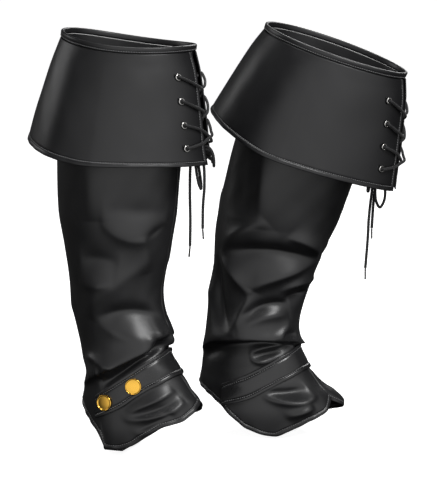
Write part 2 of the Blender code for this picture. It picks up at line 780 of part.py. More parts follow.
def hanging_lace(cover):
    """The knot, the bow's loops, the free ends and their aglets."""
    knot = stand(cover, *[np.array(v) for v in cover.knot])
    turned(f"{cover.name}_lace_knot", KNOT, knot, side_direction(cover), BLACK_CORD, 10)
    routes = [("lace_loop", cover.loops), ("lace_end", cover.ends)]
    for kind, group in routes:
        for number, route in enumerate(group, 1):
            places = stand(cover, *np.array(route).T)
            cord(f"{cover.name}_{kind}_{number}", places, LACE, BLACK_CORD, per_leg=2)
    for number, route in enumerate(cover.aglets, 1):
        top, tip = stand(cover, *np.array(route).T)
        long = np.linalg.norm(tip - top) / MM
        profile = [(0, 0.0), (AGLET / 2, 0.0), (AGLET / 2, long - 1.0), (AGLET / 2 - 0.5, long), (0, long)]
        turned(f"{cover.name}_aglet_{number}", profile, top, tip - top, BLACK_PLASTIC, 10)


def ankle_strap(cover):
    angles = np.linspace(-STRAP_END_ANGLE, STRAP_END_ANGLE, STRAP_COLUMNS + 1)
    low, high = smooth(np.abs(angles), cover.strap, 1), smooth(np.abs(angles), cover.strap, 2)
    across = np.linspace(1, 0, 4)[:, None]
    heights = low + (high - low) * across
    angle = np.broadcast_to(angles, heights.shape)
    outer = moved_out(leg_face, cover, angle, heights, STRAP_CLEAR + STRAP_WALL)
    inner = moved_out(leg_face, cover, angle, heights, STRAP_CLEAR)
    wall(f"{cover.name}_ankle_strap", outer, inner, BLACK_LEATHER)


def buttons(cover):
    profile = [
        (0, 0.0),
        (BUTTON_RADIUS - 1.0, 0.0),
        (BUTTON_RADIUS, 1.0),
        (BUTTON_RADIUS - 0.6, 2.2),
        (BUTTON_RADIUS - 2.0, 2.4),
        (BUTTON_RADIUS * 0.55, BUTTON_HIGH - 0.4),
        (0, BUTTON_HIGH),
    ]
    for number, (turn, high) in enumerate(BUTTONS, 1):
        angle, height = np.array([turn * cover.outer]), np.array([high])
        out = normals(leg_face, cover, angle, height)[0]
        place = moved_out(leg_face, cover, angle, height, STRAP_CLEAR + STRAP_WALL + BUTTON_CLEAR)[0]
        turned(f"{cover.name}_button_{number}", profile, place, out, GOLD, BUTTON_SIDES)


def stirrup(cover):
    """The elastic under the arch, from inside one hem to inside the other."""
    line = STIRRUP + [(-out, height) for out, height in STIRRUP[-2::-1]]
    side, height = np.array(line).T
    run = np.gradient(np.array(line), axis=0)
    run /= np.linalg.norm(run, axis=1, keepdims=True)
    in_side, in_height = side + run[:, 1] * ELASTIC, height - run[:, 0] * ELASTIC
    forward = cover.stirrup + np.array([-STIRRUP_LONG / 2, STIRRUP_LONG / 2])[:, None]
    outer = stand(cover, forward + 0 * side, side + 0 * forward, height + 0 * forward)
    inner = stand(cover, forward + 0 * side, in_side + 0 * forward, in_height + 0 * forward)
    wall(f"{cover.name}_stirrup", outer, inner, BLACK_CORD)


def main():
    for old in list(bpy.data.objects):
        bpy.data.objects.remove(old)
    for cover in COVERS:
        panel(cover, 1)
        panel(cover, -1)
        top_band(cover)
        cuff(cover)
        eyelets(cover)
        lace(cover)
        hanging_lace(cover)
        ankle_strap(cover)
        buttons(cover)
        stirrup(cover)


main()
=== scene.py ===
"""The looks of a pair of boot covers in black imitation leather, with laced cuffs and buttoned ankle straps.

Row frame: metres, +Z up. The wearer faces -Y and the wearer's right is -X. Tables are in millimetres and
degrees. Round a leg, "angle" is 0 at the front seam, 90 at the -X side, 180 at the back seam, and negative
at the +X side. "height" goes up the leg's axis from the floor.
"""

import math

import bpy
import numpy as np
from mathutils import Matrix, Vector


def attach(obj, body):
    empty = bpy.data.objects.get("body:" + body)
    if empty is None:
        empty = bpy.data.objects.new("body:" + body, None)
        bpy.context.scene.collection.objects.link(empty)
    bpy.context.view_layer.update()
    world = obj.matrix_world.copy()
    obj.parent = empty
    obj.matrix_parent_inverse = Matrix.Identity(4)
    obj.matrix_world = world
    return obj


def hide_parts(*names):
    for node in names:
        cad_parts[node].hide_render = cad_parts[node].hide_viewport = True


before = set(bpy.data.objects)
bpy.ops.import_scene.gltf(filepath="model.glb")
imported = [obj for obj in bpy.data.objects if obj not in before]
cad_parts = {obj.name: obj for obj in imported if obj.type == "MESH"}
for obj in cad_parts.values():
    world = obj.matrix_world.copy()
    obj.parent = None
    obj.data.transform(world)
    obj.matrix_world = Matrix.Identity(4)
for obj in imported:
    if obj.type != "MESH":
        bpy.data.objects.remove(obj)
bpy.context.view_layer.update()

# Camera
# A long lens stands off the wearer's right side and a little above the covers, as for a catalogue picture.
# Its focal length follows from its distance, the picture's height and the scale.
AZIMUTH = math.radians(-75.0)
ELEVATION = math.radians(9.0)
CAMERA_AWAY = 3.0
PICTURE_HIGH = 480
METRES_PER_PIXEL = 0.00135
SENSOR = 36.0
LOOKS_AT = Vector((-0.0025, 0.0091, -0.242))

towards_camera = Vector(
    (
        math.sin(AZIMUTH) * math.cos(ELEVATION),
        -math.cos(AZIMUTH) * math.cos(ELEVATION),
        math.sin(ELEVATION),
    )
)
camera = bpy.data.objects.new("camera", bpy.data.cameras.new("camera"))
camera.data.sensor_fit = "VERTICAL"
camera.data.sensor_height = SENSOR
camera.data.lens = SENSOR * CAMERA_AWAY / (PICTURE_HIGH * METRES_PER_PIXEL)
camera.location = LOOKS_AT + towards_camera * CAMERA_AWAY
camera.rotation_euler = (-towards_camera).to_track_quat("-Z", "Y").to_euler()
bpy.context.scene.collection.objects.link(camera)
bpy.context.scene.camera = camera
bpy.context.scene.view_settings.view_transform = "Standard"

# Floor and light
# A plain white floor and backdrop in a room that is pale behind the camera and dark elsewhere, and palest
# level with the covers. A large soft light stands high in front of the wearer, so that the folds' upper sides
# shine, and weak ones above, behind and on the far side open the shadows.
FLOOR_HEIGHT = -0.52
FLOOR_HALF = 30.0
BACKDROP = 1.05
ROOM_BRIGHT = 1.0
ROOM_DARK = 0.06
ROOM_BRIGHTEST = (-0.85, -0.40, 0.15)
ROOM_TURNS = (0.0, 0.95)
#    from level  to level  share there  share here
ROOM_FADES = [(0.10, 0.80, 1.00, 0.22), (-0.75, -0.10, 0.06, 1.00)]
LIGHTS_AIM_AT = Vector((0.0, 0.0, -0.25))
#    name  place  size  watts
SOFT_LIGHTS = [
    ("key light", (-1.5, -2.0, 2.3), 1.3, 76.0),
    ("top light", (-0.3, 0.2, 2.4), 1.2, 20.0),
    ("back light", (0.3, 2.6, 0.9), 1.4, 8.0),
    ("far side light", (2.4, -0.3, 1.5), 1.4, 28.0),
]


def paint(name, **constants):
    """A material with its constants on its shader's own sockets."""
    made = bpy.data.materials.new(name)
    made.use_nodes = True
    for socket, value in constants.items():
        made.node_tree.nodes["Principled BSDF"].inputs[socket.replace("_", " ").title()].default_value = value
    return made


def node(tree, kind, **values):
    """A shader node with its settings and its unlinked sockets."""
    made = tree.nodes.new(f"ShaderNode{kind}")
    for key, value in values.items():
        if hasattr(made, key):
            setattr(made, key, value)
        else:
            made.inputs[key.replace("_", " ").title()].default_value = value
    return made


def wire(tree, *wires):
    """Links between nodes, each given as a node, its output, the next node and its input."""
    for start, output, end, socket in wires:
        tree.links.new(start.outputs[output], end.inputs[socket])


floor_mesh = bpy.data.meshes.new("floor")
corners = [(x * FLOOR_HALF, y * FLOOR_HALF, FLOOR_HEIGHT) for x, y in ((-1, -1), (1, -1), (1, 1), (-1, 1))]
floor_mesh.from_pydata(corners, [], [(0, 1, 2, 3)])
floor = bpy.data.objects.new("floor", floor_mesh)
floor_paint = paint(
    "floor_paint",
    base_color=(0.9, 0.9, 0.9, 1.0),
    roughness=0.9,
    emission_color=(1.0, 1.0, 1.0, 1.0),
    emission_strength=0.9,
)
floor.data.materials.append(floor_paint)
floor.visible_diffuse = False
floor.visible_glossy = False
bpy.context.scene.collection.objects.link(floor)

for name, place, size, watts in SOFT_LIGHTS:
    light = bpy.data.objects.new(name, bpy.data.lights.new(name, "AREA"))
    light.data.shape = "DISK"
    light.data.size = size
    light.data.energy = watts
    light.location = place
    light.rotation_euler = (LIGHTS_AIM_AT - Vector(place)).to_track_quat("-Z", "Y").to_euler()
    bpy.context.scene.collection.objects.link(light)

room = bpy.data.worlds.new("room")
room.use_nodes = True
room_tree = room.node_tree
direction = node(room_tree, "TexCoord")
facing = node(room_tree, "VectorMath", operation="DOT_PRODUCT")
facing.inputs[1].default_value = Vector(ROOM_BRIGHTEST).normalized()
level = node(room_tree, "SeparateXYZ")
wire(room_tree, (direction, "Generated", facing, 0), (direction, "Generated", level, "Vector"))


def fade(source, output, low, high, there, here):
    """A smooth step in the room's light along a value, from there at its low end to here at its high end."""
    step = node(room_tree, "MapRange", from_min=low, from_max=high, to_min=there, to_max=here)
    step.interpolation_type = "SMOOTHSTEP"
    wire(room_tree, (source, output, step, "Value"))
    return step


lit = fade(facing, "Value", *ROOM_TURNS, ROOM_DARK, ROOM_BRIGHT)
for row in ROOM_FADES:
    times = node(room_tree, "Math", operation="MULTIPLY")
    wire(room_tree, (lit, 0, times, 0), (fade(level, "Z", *row), "Result", times, 1))
    lit = times
seen = node(room_tree, "LightPath")
strength = node(room_tree, "Mix", b=BACKDROP)
background = room_tree.nodes["Background"]
background.inputs["Color"].default_value = (1.0, 1.0, 1.0, 1.0)
wire(
    room_tree,
    (lit, 0, strength, "A"),
    (seen, "Is Camera Ray", strength, "Factor"),
    (strength, "Result", background, "Strength"),
)
bpy.context.scene.world = room

# Leg panels
# Each cover's leg is an outer and an inner panel of black imitation leather, a satin polyurethane on a knit,
# sewn to each other at the front and back seams with the edges turned inwards. The hem is turned under and
# stitched. It spreads over the foot and is cut away at the heel.
MM = 0.001
KNEE_ABOVE_FLOOR = 520.0
MM_PER_DEGREE = 1.1
FOLD_CREST = 0.3

# The pattern cutter's form: a stack of oval sections round an axis that leans forward with the shin.
#    height  front  back  side  point
RIGHT_SECTIONS = [
    (0, 113, 56, 44, 1.00),
    (12, 113, 58, 49, 1.00),
    (40, 110, 62, 53, 1.00),
    (70, 101, 63, 51, 1.05),
    (84, 89, 61, 50, 1.08),
    (96, 82, 58, 49, 1.08),
    (110, 72, 55, 48, 1.08),
    (130, 60, 60, 48, 1.05),
    (150, 59, 62, 50, 1.05),
    (178, 58, 65, 53, 1.05),
    (210, 58, 67, 56, 1.05),
    (278, 70, 76, 63, 1.05),
    (326, 78, 84, 68, 1.05),
    (385, 83, 85, 70, 1.05),
    (480, 86, 86, 72, 1.05),
    (565, 89, 89, 75, 1.05),
]
LEFT_SECTIONS = [
    (0, 112, 66, 46, 1.00),
    (12, 112, 71, 50, 1.00),
    (40, 110, 77, 54, 1.00),
    (57, 104, 79, 53, 1.05),
    (72, 90, 79, 52, 1.08),
    (87, 79, 77, 50, 1.08),
    (102, 70, 75, 49, 1.08),
    (118, 62, 71, 49, 1.05),
    (142, 57, 70, 51, 1.05),
    (178, 59, 70, 55, 1.05),
    (210, 63, 71, 58, 1.05),
    (278, 73, 81, 65, 1.05),
    (326, 82, 84, 69, 1.05),
    (385, 86, 86, 72, 1.05),
    (480, 94, 89, 76, 1.05),
    (565, 107, 94, 80, 1.05),
]

#    height  degrees the leg leans forward
RIGHT_LEANS = [(0, 0), (120, -3), (180, -6), (230, -1), (385, 1), (430, 5), (565, 6)]
LEFT_LEANS = [(0, 0), (110, 0), (160, 7), (210, 10), (280, 14), (340, 16), (420, 18), (565, 19)]

#    angle  height of the ankle strap's low edge, high edge
RIGHT_STRAP = [(0, 103, 139), (12, 104, 137), (50, 94, 125), (70, 81, 114), (90, 63, 100), (116, 51, 82)]
LEFT_STRAP = [(0, 93, 128), (12, 93, 126), (50, 82, 113), (70, 70, 102), (90, 55, 90), (116, 45, 75)]
STRAP_END_ANGLE = 116.0
STRAP_FLATTENS = 7.0

# Each fold runs from one place on the leg to another, bows up or down on its way, and stands out by its rise,
# or in where that is below zero. above and below are its widths, and sag is how far its crest has slipped.
#    angle  height  angle  height  bow  above  below  rise  sag
RIGHT_FOLDS = [
    # Outer side, from the cuff down
    (98, 318, 102, 400, 0, 14, 10, 3.6, 0),
    (14, 314, 92, 322, -24, 22, 9, 4.4, 1),
    (16, 328, 86, 334, 0, 14, 12, -3.4, 0),
    (16, 312, 44, 290, 3, 5, 8, -3.4, 0),
    (36, 246, 46, 300, 0, 9, 9, 2.8, 0),
    (70, 262, 118, 266, 4, 12, 12, -4.5, 0),
    (78, 236, 126, 236, -4, 14, 7, 3.4, 1),
    (92, 242, 114, 186, 0, 8, 9, 3.0, 0),
    (2, 172, 108, 187, 16, 9, 15, -8.0, 0),
    (6, 170, 108, 186, -16, 12, 10, 4.4, 1),
    (30, 268, 116, 200, 0, 12, 12, 3.1, 0),
    (-8, 172, 158, 90, 3, 16, 5, 13.5, 6),
    (4, 150, 112, 96, 2, 4, 10, -10.5, 0),
    (-30, 150, 30, 150, 0, 14, 11, 8.8, 2),
    (30, 166, 36, 130, 0, 6, 8, -6.8, 0),
    (24, 146, 60, 134, 0, 5, 4, 4.6, 0),
    (16, 165, 2, 136, -7, 5, 4, 4.6, 0),
    (34, 152, 10, 146, 0, 7, 6, -6.5, 0),
    (46, 158, 18, 166, 2, 4, 4, 3.0, 0),
    (80, 120, 138, 132, 8, 6, 4, 5.7, 0),
    (98, 132, 100, 108, 0, 3, 3, 2.7, 0),
    (108, 134, 110, 106, 0, 3, 4, 3.2, 0),
    (119, 133, 123, 106, 0, 4, 3, 2.7, 0),
    (28, 88, 80, 60, 3, 6, 3, 6.0, 0),
    (30, 80, 78, 55, -2, 3, 4, -4.5, 0),
    (26, 76, 84, 52, -5, 5, 5, 6.9, 0),
    (44, 62, 74, 36, 0, 4, 5, -4.9, 0),
    (46, 58, 74, 31, 0, 5, 5, 6.0, 0),
    # Back
    (172, 256, 238, 248, -6, 16, 8, 5.6, 1),
    (174, 192, 236, 184, 6, 13, 8, 5.9, 1),
    (176, 146, 232, 150, -5, 10, 7, 4.3, 0),
    (174, 226, 230, 214, 4, 8, 11, -3.5, 0),
    (176, 300, 228, 286, -4, 12, 11, 3.1, 0),
    (172, 118, 224, 112, 4, 8, 8, 3.4, 0),
    (140, 206, 186, 188, 3, 16, 10, 2.7, 0),
    # Inner side
    (-94, 332, -22, 320, -22, 20, 9, 5.9, 1),
    (-86, 344, -30, 340, -2, 14, 12, -3.6, 0),
    (-102, 396, -98, 300, 0, 10, 14, 3.6, 0),
    (-130, 238, -78, 228, 5, 14, 7, 5.0, 1),
    (-120, 262, -74, 258, 4, 12, 12, -4.2, 0),
    (-106, 190, -18, 180, 15, 9, 15, -7.4, 0),
    (-106, 186, -14, 172, -14, 12, 10, 5.9, 1),
    (-60, 300, -20, 250, 0, 9, 9, 3.1, 0),
    (-152, 92, 2, 170, 0, 16, 5, 10.8, 5),
    (-108, 98, -8, 149, 0, 4, 10, -7.4, 0),
    (-134, 132, -84, 122, 7, 6, 4, 4.9, 0),
    (-110, 106, -108, 134, 0, 4, 3, 3.0, 0),
    (-78, 56, -28, 84, 3, 6, 4, 5.7, 0),
    (-78, 50, -30, 74, -3, 5, 5, 6.0, 0),
    (-70, 36, -46, 60, 0, 5, 5, 4.9, 0),
]
LEFT_FOLDS = [
    # Inner side, from the cuff down
    (93, 296, 110, 400, 0, 18, 9, 6.4, 0),
    (118, 300, 138, 396, 0, 14, 16, -3.8, 0),
    (88, 308, 136, 248, 4, 9, 11, 6.4, 0),
    (12, 272, 64, 295, 4, 11, 5, 7.0, 1),
    (12, 266, 136, 246, 15, 6, 15, -10.9, 0),
    (8, 266, 100, 203, 4, 12, 7, 7.2, 1),
    (92, 202, 142, 246, 0, 11, 6, 7.5, 0),
    (106, 150, 144, 244, -15, 9, 12, -9.4, 0),
    (91, 211, 109, 148, -4, 6, 9, 7.5, 0),
    (126, 138, 158, 230, -8, 12, 12, 4.3, 0),
    (2, 228, 56, 212, 7, 8, 4, 5.5, 0),
    (4, 214, 48, 206, 0, 4, 7, -8.7, 0),
    (36, 198, 102, 166, 10, 5, 11, -8.7, 0),
    (34, 182, 100, 156, 8, 10, 8, 7.0, 0),
    (-16, 128, 178, 108, 29, 16, 5, 14.0, 6),
    (6, 122, 160, 104, 23, 4, 11, -9.4, 0),
    (28, 170, 54, 150, 0, 4, 6, 4.9, 0),
    (12, 150, 44, 154, 0, 5, 5, -6.1, 0),
    (40, 122, 84, 116, 0, 4, 4, -5.8, 0),
    (28, 131, 87, 118, 5, 5, 3, 6.1, 0),
    (44, 118, 86, 113, -8, 3, 4, 5.2, 0),
    (24, 63, 76, 61, -9, 5, 5, 8.2, 0),
    (30, 71, 74, 67, -3, 4, 5, -6.4, 0),
    (34, 47, 60, 32, 0, 6, 5, 7.4, 0),
    (-24, 126, 20, 128, 0, 9, 8, 9.4, 2),
    # Back
    (172, 300, 236, 312, 6, 16, 9, 5.2, 1),
    (174, 206, 238, 214, -6, 13, 8, 6.1, 1),
    (176, 160, 234, 156, 5, 10, 8, 4.9, 0),
    (172, 252, 228, 262, 0, 10, 11, -3.6, 0),
    (176, 352, 232, 344, 4, 14, 11, 3.2, 0),
    (142, 196, 188, 178, 0, 14, 12, 2.9, 0),
    # Outer side
    (-136, 246, -12, 268, 15, 6, 15, -10.2, 0),
    (-100, 203, -8, 266, 4, 12, 7, 7.0, 1),
    (-64, 295, -12, 272, 4, 11, 5, 6.4, 1),
    (-110, 396, -94, 296, 0, 9, 18, 5.8, 0),
    (-142, 246, -92, 202, 0, 11, 6, 7.0, 0),
    (-140, 240, -106, 156, 13, 9, 12, -8.0, 0),
    (-109, 150, -92, 211, 4, 9, 6, 6.7, 0),
    (-56, 212, -2, 228, 6, 8, 4, 4.9, 0),
    (-100, 168, -34, 196, 10, 5, 11, -7.2, 0),
    (-98, 157, -30, 182, 8, 10, 8, 6.7, 0),
    (-178, 108, 10, 126, 27, 16, 5, 11.6, 5),
    (-158, 104, -12, 122, 21, 4, 10, -8.7, 0),
    (-88, 118, -34, 130, 5, 5, 3, 5.5, 0),
    (-84, 113, -44, 117, -6, 3, 4, 4.6, 0),
    (-76, 60, -26, 62, -8, 5, 5, 7.4, 0),
    (-52, 50, -6, 40, 0, 20, 20, 23.0, 0),
]


class Cover:
    """One cover: where it stands, how its leg leans, and its tables."""

    def __init__(self, name, across, ahead, yaw, outer, rim, dip, leans, sections, strap, folds):
        """Sums the sine and cosine of the lean up the leg's axis, a millimetre to a step."""
        self.name = name
        self.across = across
        self.ahead = ahead
        self.yaw = math.radians(yaw)
        self.outer = outer
        self.rim = rim
        self.dip = dip
        self.sections = sections
        self.strap = strap
        self.folds = folds
        self.along = np.linspace(0.0, 620.0, 621)
        self.lean = np.radians(through(self.along, leans, 1))
        self.lean_ahead = np.concatenate([[0.0], np.cumsum(np.sin(self.lean[:-1]))])
        self.lean_level = np.concatenate([[0.0], np.cumsum(np.cos(self.lean[:-1]))])


def through(at, table, column):
    """A cubic through a table's rows. A row's slope is the harmonic mean of the steps beside it, or 0."""
    rows = np.array(table, float)
    knots, values = rows[:, 0], rows[:, column]
    slope = np.diff(values) / np.diff(knots)
    both = slope[:-1] * slope[1:]
    tangent = np.zeros(len(values))
    tangent[1:-1] = np.where(both > 0, 2 * both / np.where(both > 0, slope[:-1] + slope[1:], 1.0), 0.0)
    tangent[0], tangent[-1] = slope[0], slope[-1]
    at = np.clip(at, knots[0], knots[-1])
    i = np.clip(np.searchsorted(knots, at) - 1, 0, len(knots) - 2)
    step = knots[i + 1] - knots[i]
    t = (at - knots[i]) / step
    return (
        (2 * t**3 - 3 * t**2 + 1) * values[i]
        + (t**3 - 2 * t**2 + t) * step * tangent[i]
        + (3 * t**2 - 2 * t**3) * values[i + 1]
        + (t**3 - t**2) * step * tangent[i + 1]
    )


def stand(cover, forward, side, height):
    """Row places of points given from the ankle's axis and the floor. side is positive towards -X."""
    c, s = math.cos(cover.yaw), math.sin(cover.yaw)
    x = cover.across - side * c - forward * s
    y = -cover.ahead - forward * c + side * s
    return np.stack([x, y, height - KNEE_ABOVE_FLOOR + 0 * x], axis=-1) * MM


def on_leg(cover, forward, side, height):
    """Row places of points given square to the leaning axis at a height along it."""
    lean = np.interp(height, cover.along, cover.lean)
    return stand(
        cover,
        np.interp(height, cover.along, cover.lean_ahead) + forward * np.cos(lean),
        side,
        np.interp(height, cover.along, cover.lean_level) - forward * np.sin(lean),
    )


def oval(angle, front, back, side, point):
    """Forward and sideways reach at an angle: half ovals, the front one raised to a power."""
    c, s = np.cos(np.radians(angle)), np.sin(np.radians(angle))
    point = np.where(c > 0, point, 1.0)
    forward = np.where(c > 0, front, back) * np.sign(c) * np.abs(c) ** point
    return forward, side * np.sign(s) * np.abs(s) ** point


def fall_off(distance, reach):
    """A bell: 1 at no distance, and e to the power of less the square of distance over reach."""
    return np.exp(-((distance / reach) ** 2))


def eased(share):
    """0 up to 1 with a soft start and end: 3 s squared less 2 s cubed."""
    share = np.clip(share, 0, 1)
    return share * share * (3 - 2 * share)


def fold_push(cover, angle, height):
    """How far the folds push the leather out, and how far they let it slip down, in mm.

    Across a fold the push falls off exponentially on both sides of a crest that FOLD_CREST rounds. Along it,
    it swells from nothing to full and back."""
    push = np.zeros(np.broadcast(angle, height).shape)
    slip = np.zeros_like(push)
    for angle_1, height_1, angle_2, height_2, bow, above, below, rise, sag in cover.folds:
        run = np.array([(angle_2 - angle_1) * MM_PER_DEGREE, height_2 - height_1])
        long = np.hypot(*run)
        for whole_turn in (-360, 0, 360):
            x, y = (angle + whole_turn - angle_1) * MM_PER_DEGREE, height - height_1
            share = (x * run[0] + y * run[1]) / long**2
            swell = np.clip(1 - (2 * share - 1) ** 2, 0, 1)
            across = (y * run[0] - x * run[1]) / long - bow * swell
            crest = np.hypot(across / np.where(across > 0, above, below), FOLD_CREST) - FOLD_CREST
            bell = swell * np.exp(-(crest**1.2))
            push += rise * bell
            slip += sag * bell
    turn = np.abs(angle)
    low, high = through(turn, cover.strap, 1), through(turn, cover.strap, 2)
    over = np.maximum(np.maximum(low - height, height - high), turn - STRAP_END_ANGLE)
    slack = eased(over / STRAP_FLATTENS)
    return push * slack, slip * slack


def leg_face(cover, angle, height, out=0.0):
    """The leather's outer face on the leg, moved straight out from the axis by out."""
    forward, side = oval(angle, *[through(height, cover.sections, column) for column in (1, 2, 3, 4)])
    turn = np.radians(angle)
    push, slip = fold_push(cover, angle, height)
    push = push + out
    return on_leg(cover, forward + push * np.cos(turn), side + push * np.sin(turn), height - slip)


def unit(vectors):
    """The same directions with length 1."""
    return vectors / np.linalg.norm(vectors, axis=-1, keepdims=True)


def run_along(line):
    """How far each point of a line lies along it: the sum of the steps before it."""
    return np.concatenate([[0.0], np.cumsum(np.linalg.norm(np.diff(line, axis=0), axis=1))])


def grid_normals(points):
    """Unit vectors square to a grid of points, pointing away from its middle."""
    found = np.cross(np.gradient(points, axis=0), np.gradient(points, axis=1))
    found /= np.linalg.norm(found, axis=-1, keepdims=True) + 1e-12
    middle = points.reshape(-1, 3).mean(axis=0)
    return found if (found * (points - middle)).sum() > 0 else -found


RIGHT_TABLES = (RIGHT_LEANS, RIGHT_SECTIONS, RIGHT_STRAP, RIGHT_FOLDS)
LEFT_TABLES = (LEFT_LEANS, LEFT_SECTIONS, LEFT_STRAP, LEFT_FOLDS)

#                     across  ahead  yaw  outer  rim  dip
RIGHT = Cover("right", -75.0, -115.0, 4.0, 1, 557.0, 7.0, *RIGHT_TABLES)
LEFT = Cover("left", 66.0, 25.0, 0.0, -1, 553.0, 0.0, *LEFT_TABLES)
COVERS = [RIGHT, LEFT]

# The leather has a very fine even grain and a soft shine.
GRAIN = 0.0011
GRAIN_DEEP = 0.00005


def near_black(grey):
    """A colour a little bluer than its grey, by 0.001."""
    return grey, grey, grey + 0.001, 1.0


def leather(name, dark, light, smooth, dull):
    """Satin leather: two near blacks in broad clouds, shine that varies with them, and a fine cell grain."""
    made = paint(name)
    tree = made.node_tree
    shader = tree.nodes["Principled BSDF"]
    shader.inputs["Specular IOR Level"].default_value = 0.6
    place = node(tree, "TexCoord")
    clouds = node(tree, "TexNoise", scale=22.0, detail=3.0, roughness=0.55)
    tint = node(tree, "MapRange", from_min=0.3, from_max=0.7)
    mix = node(tree, "Mix", data_type="RGBA")
    mix.inputs["A"].default_value = near_black(dark)
    mix.inputs["B"].default_value = near_black(light)
    shine = node(tree, "MapRange", from_min=0.25, from_max=0.75, to_min=smooth, to_max=dull)
    cells = node(tree, "TexVoronoi", scale=1 / GRAIN, randomness=1.0)
    pores = node(tree, "TexNoise", scale=2.2 / GRAIN, detail=2.0)
    relief = node(tree, "Math", operation="ADD")
    bump = node(tree, "Bump", strength=0.35, distance=GRAIN_DEEP)
    wire(
        tree,
        (place, "Object", clouds, "Vector"),
        (place, "Object", cells, "Vector"),
        (place, "Object", pores, "Vector"),
        (clouds, "Fac", tint, "Value"),
        (tint, "Result", mix, "Factor"),
        (mix, "Result", shader, "Base Color"),
        (clouds, "Fac", shine, "Value"),
        (shine, "Result", shader, "Roughness"),
        (cells, "Distance", relief, 0),
        (pores, "Fac", relief, 1),
        (relief, "Value", bump, "Height"),
        (bump, "Normal", shader, "Normal"),
    )
    return made


def mesh_piece(name, points, faces, finish, slot, replaced=()):
    """A smooth shaded mesh object that rides with the covers."""
    mesh = bpy.data.meshes.new(name)
    faces = np.asarray(faces)
    mesh.vertices.add(len(points))
    mesh.vertices.foreach_set("co", np.asarray(points, np.float32).ravel())
    mesh.loops.add(faces.size)
    mesh.loops.foreach_set("vertex_index", faces.ravel().astype(np.int32))
    mesh.polygons.add(len(faces))
    mesh.polygons.foreach_set("loop_start", np.arange(len(faces), dtype=np.int32) * faces.shape[1])
    mesh.update(calc_edges=True)
    mesh.shade_smooth()
    mesh.materials.append(finish)
    made = bpy.data.objects.new(name, mesh)
    bpy.context.scene.collection.objects.link(made)
    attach(made, "root")
    if replaced:
        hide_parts(*replaced)
    return made


def wall_faces(outer, inner, kept=None):
    """Points and faces of a closed wall between two grids, without the cells that kept leaves out."""
    rows, columns = outer.shape[:2]
    number = np.arange(rows * columns).reshape(rows, columns)
    a, b, c, d = number[:-1, :-1], number[1:, :-1], number[1:, 1:], number[:-1, 1:]
    if kept is None:
        kept = np.ones(a.shape, bool)
    beyond = np.pad(kept, 1, mode="constant")
    inside = rows * columns
    cells = np.stack([a, b, c, d], axis=-1)[kept]
    faces = [cells, cells[:, ::-1] + inside]
    neighbours = (beyond[1:-1, :-2], beyond[2:, 1:-1], beyond[1:-1, 2:], beyond[:-2, 1:-1])
    for start, end, beside in zip((a, b, c, d), (b, c, d, a), neighbours):
        edge = kept & ~beside
        faces.append(np.stack([end[edge], start[edge], start[edge] + inside, end[edge] + inside], axis=-1))
    points = np.concatenate([outer.reshape(-1, 3), inner.reshape(-1, 3)])
    faces = np.concatenate(faces)
    p, q, r = (points[cells[:, i]] for i in range(3))
    faces_out = (np.cross(q - p, r - p) * (p - points[cells[:, 0] + inside])).sum() > 0
    return points, faces if faces_out else faces[:, ::-1]


def rounded_wall(points, away, thick, edge):
    """Outer and inner faces of a wall whose edges are rounded by a quarter circle. edge is each point's
    distance from the nearest edge."""
    share = np.clip(edge / (thick / 2), 0, 1)
    half = np.maximum(np.sqrt(1 - (1 - share) ** 2), 0.3)[..., None] * thick / 2 * MM
    middle = points - away * thick / 2 * MM
    return middle + away * half, middle - away * half


def graded(low, high, count, near_edge):
    """Positions from low to high: the near_edge steps at both ends, and count even steps between them."""
    near = np.array(near_edge) * np.sign(high - low)
    between = np.linspace(low + near[-1], high - near[-1], count + 1)[1:-1]
    return np.concatenate([low + near, between, (high - near)[::-1]])


# One row of lockstitch in black thread runs along each turned edge, and pulls a groove into it.
# The thread is coloured mid grey: painted sheen that stands for the glints on the black thread.
STITCH = 2.6
STITCH_PITCH = 3.3
THREAD = 0.9
TURNED_IN = 5.0
TURNED_RAISED = 0.8
THREAD_PULLS = 1.0

# Painted sheen: the black thread is coloured mid grey, so its stitches show as light dashes.
thread_painted_with_sheen = paint("thread", base_color=(0.26, 0.26, 0.265, 1.0), roughness=0.45)


def turned_edge(away_from_edge, deep=TURNED_IN):
    """How far a turned edge stands out: a double layer up to the stitch row, which pulls a groove into it."""
    doubled = TURNED_RAISED * eased((deep - away_from_edge) / 1.2 + 0.5)
    return doubled - THREAD_PULLS * fall_off(away_from_edge - deep, THREAD)


def stitch_row(places, away):
    """Stitches along a line of places: each is a short thread of four sides that rises like a half sine."""
    run = run_along(places) / MM
    starts = np.arange(STITCH_PITCH / 2, run[-1] - STITCH_PITCH, STITCH_PITCH)
    share = np.array([0.0, 0.2, 0.5, 0.8, 1.0])
    at = (starts[:, None] + share * STITCH).ravel()

    def along(values):
        """Values at each step of each stitch."""
        found = np.stack([np.interp(at, run, values[:, i]) for i in range(3)], axis=-1)
        return found.reshape(-1, len(share), 3)

    line, up = along(places), unit(along(away))
    ahead = unit(line[:, -1:] - line[:, :1])
    aside = np.cross(ahead, up)
    arch = np.sin(math.pi * share)[None, :, None]
    rise = (arch * THREAD * 0.9 - THREAD * 0.45) * MM
    thick = THREAD / 2 * (0.45 + 0.55 * arch) * MM
    corner = np.radians([45, 135, 225, 315])
    sides = [line + up * (rise + thick * math.sin(t)) + aside * thick * math.cos(t) for t in corner]
    threads = np.stack(sides, axis=2)
    number = np.arange(threads[..., 0].size).reshape(threads.shape[:3])
    following = np.roll(number, -1, axis=2)
    skin = np.stack([number[:, :-1], following[:, :-1], following[:, 1:], number[:, 1:]], axis=-1)
    ends = np.concatenate([number[:, 0, ::-1], number[:, -1]])
    return threads.reshape(-1, 3), np.concatenate([skin.reshape(-1, 4), ends])


def stitching(name, rows, slot):
    """One mesh of several rows of stitches, each given as places and outward directions."""
    points, faces, first = [], [], 0
    for places, away in rows:
        row_points, row_faces = stitch_row(places, away)
        points.append(row_points)
        faces.append(row_faces + first)
        first += len(row_points)
    return mesh_piece(name, np.concatenate(points), np.concatenate(faces), thread_painted_with_sheen, slot)


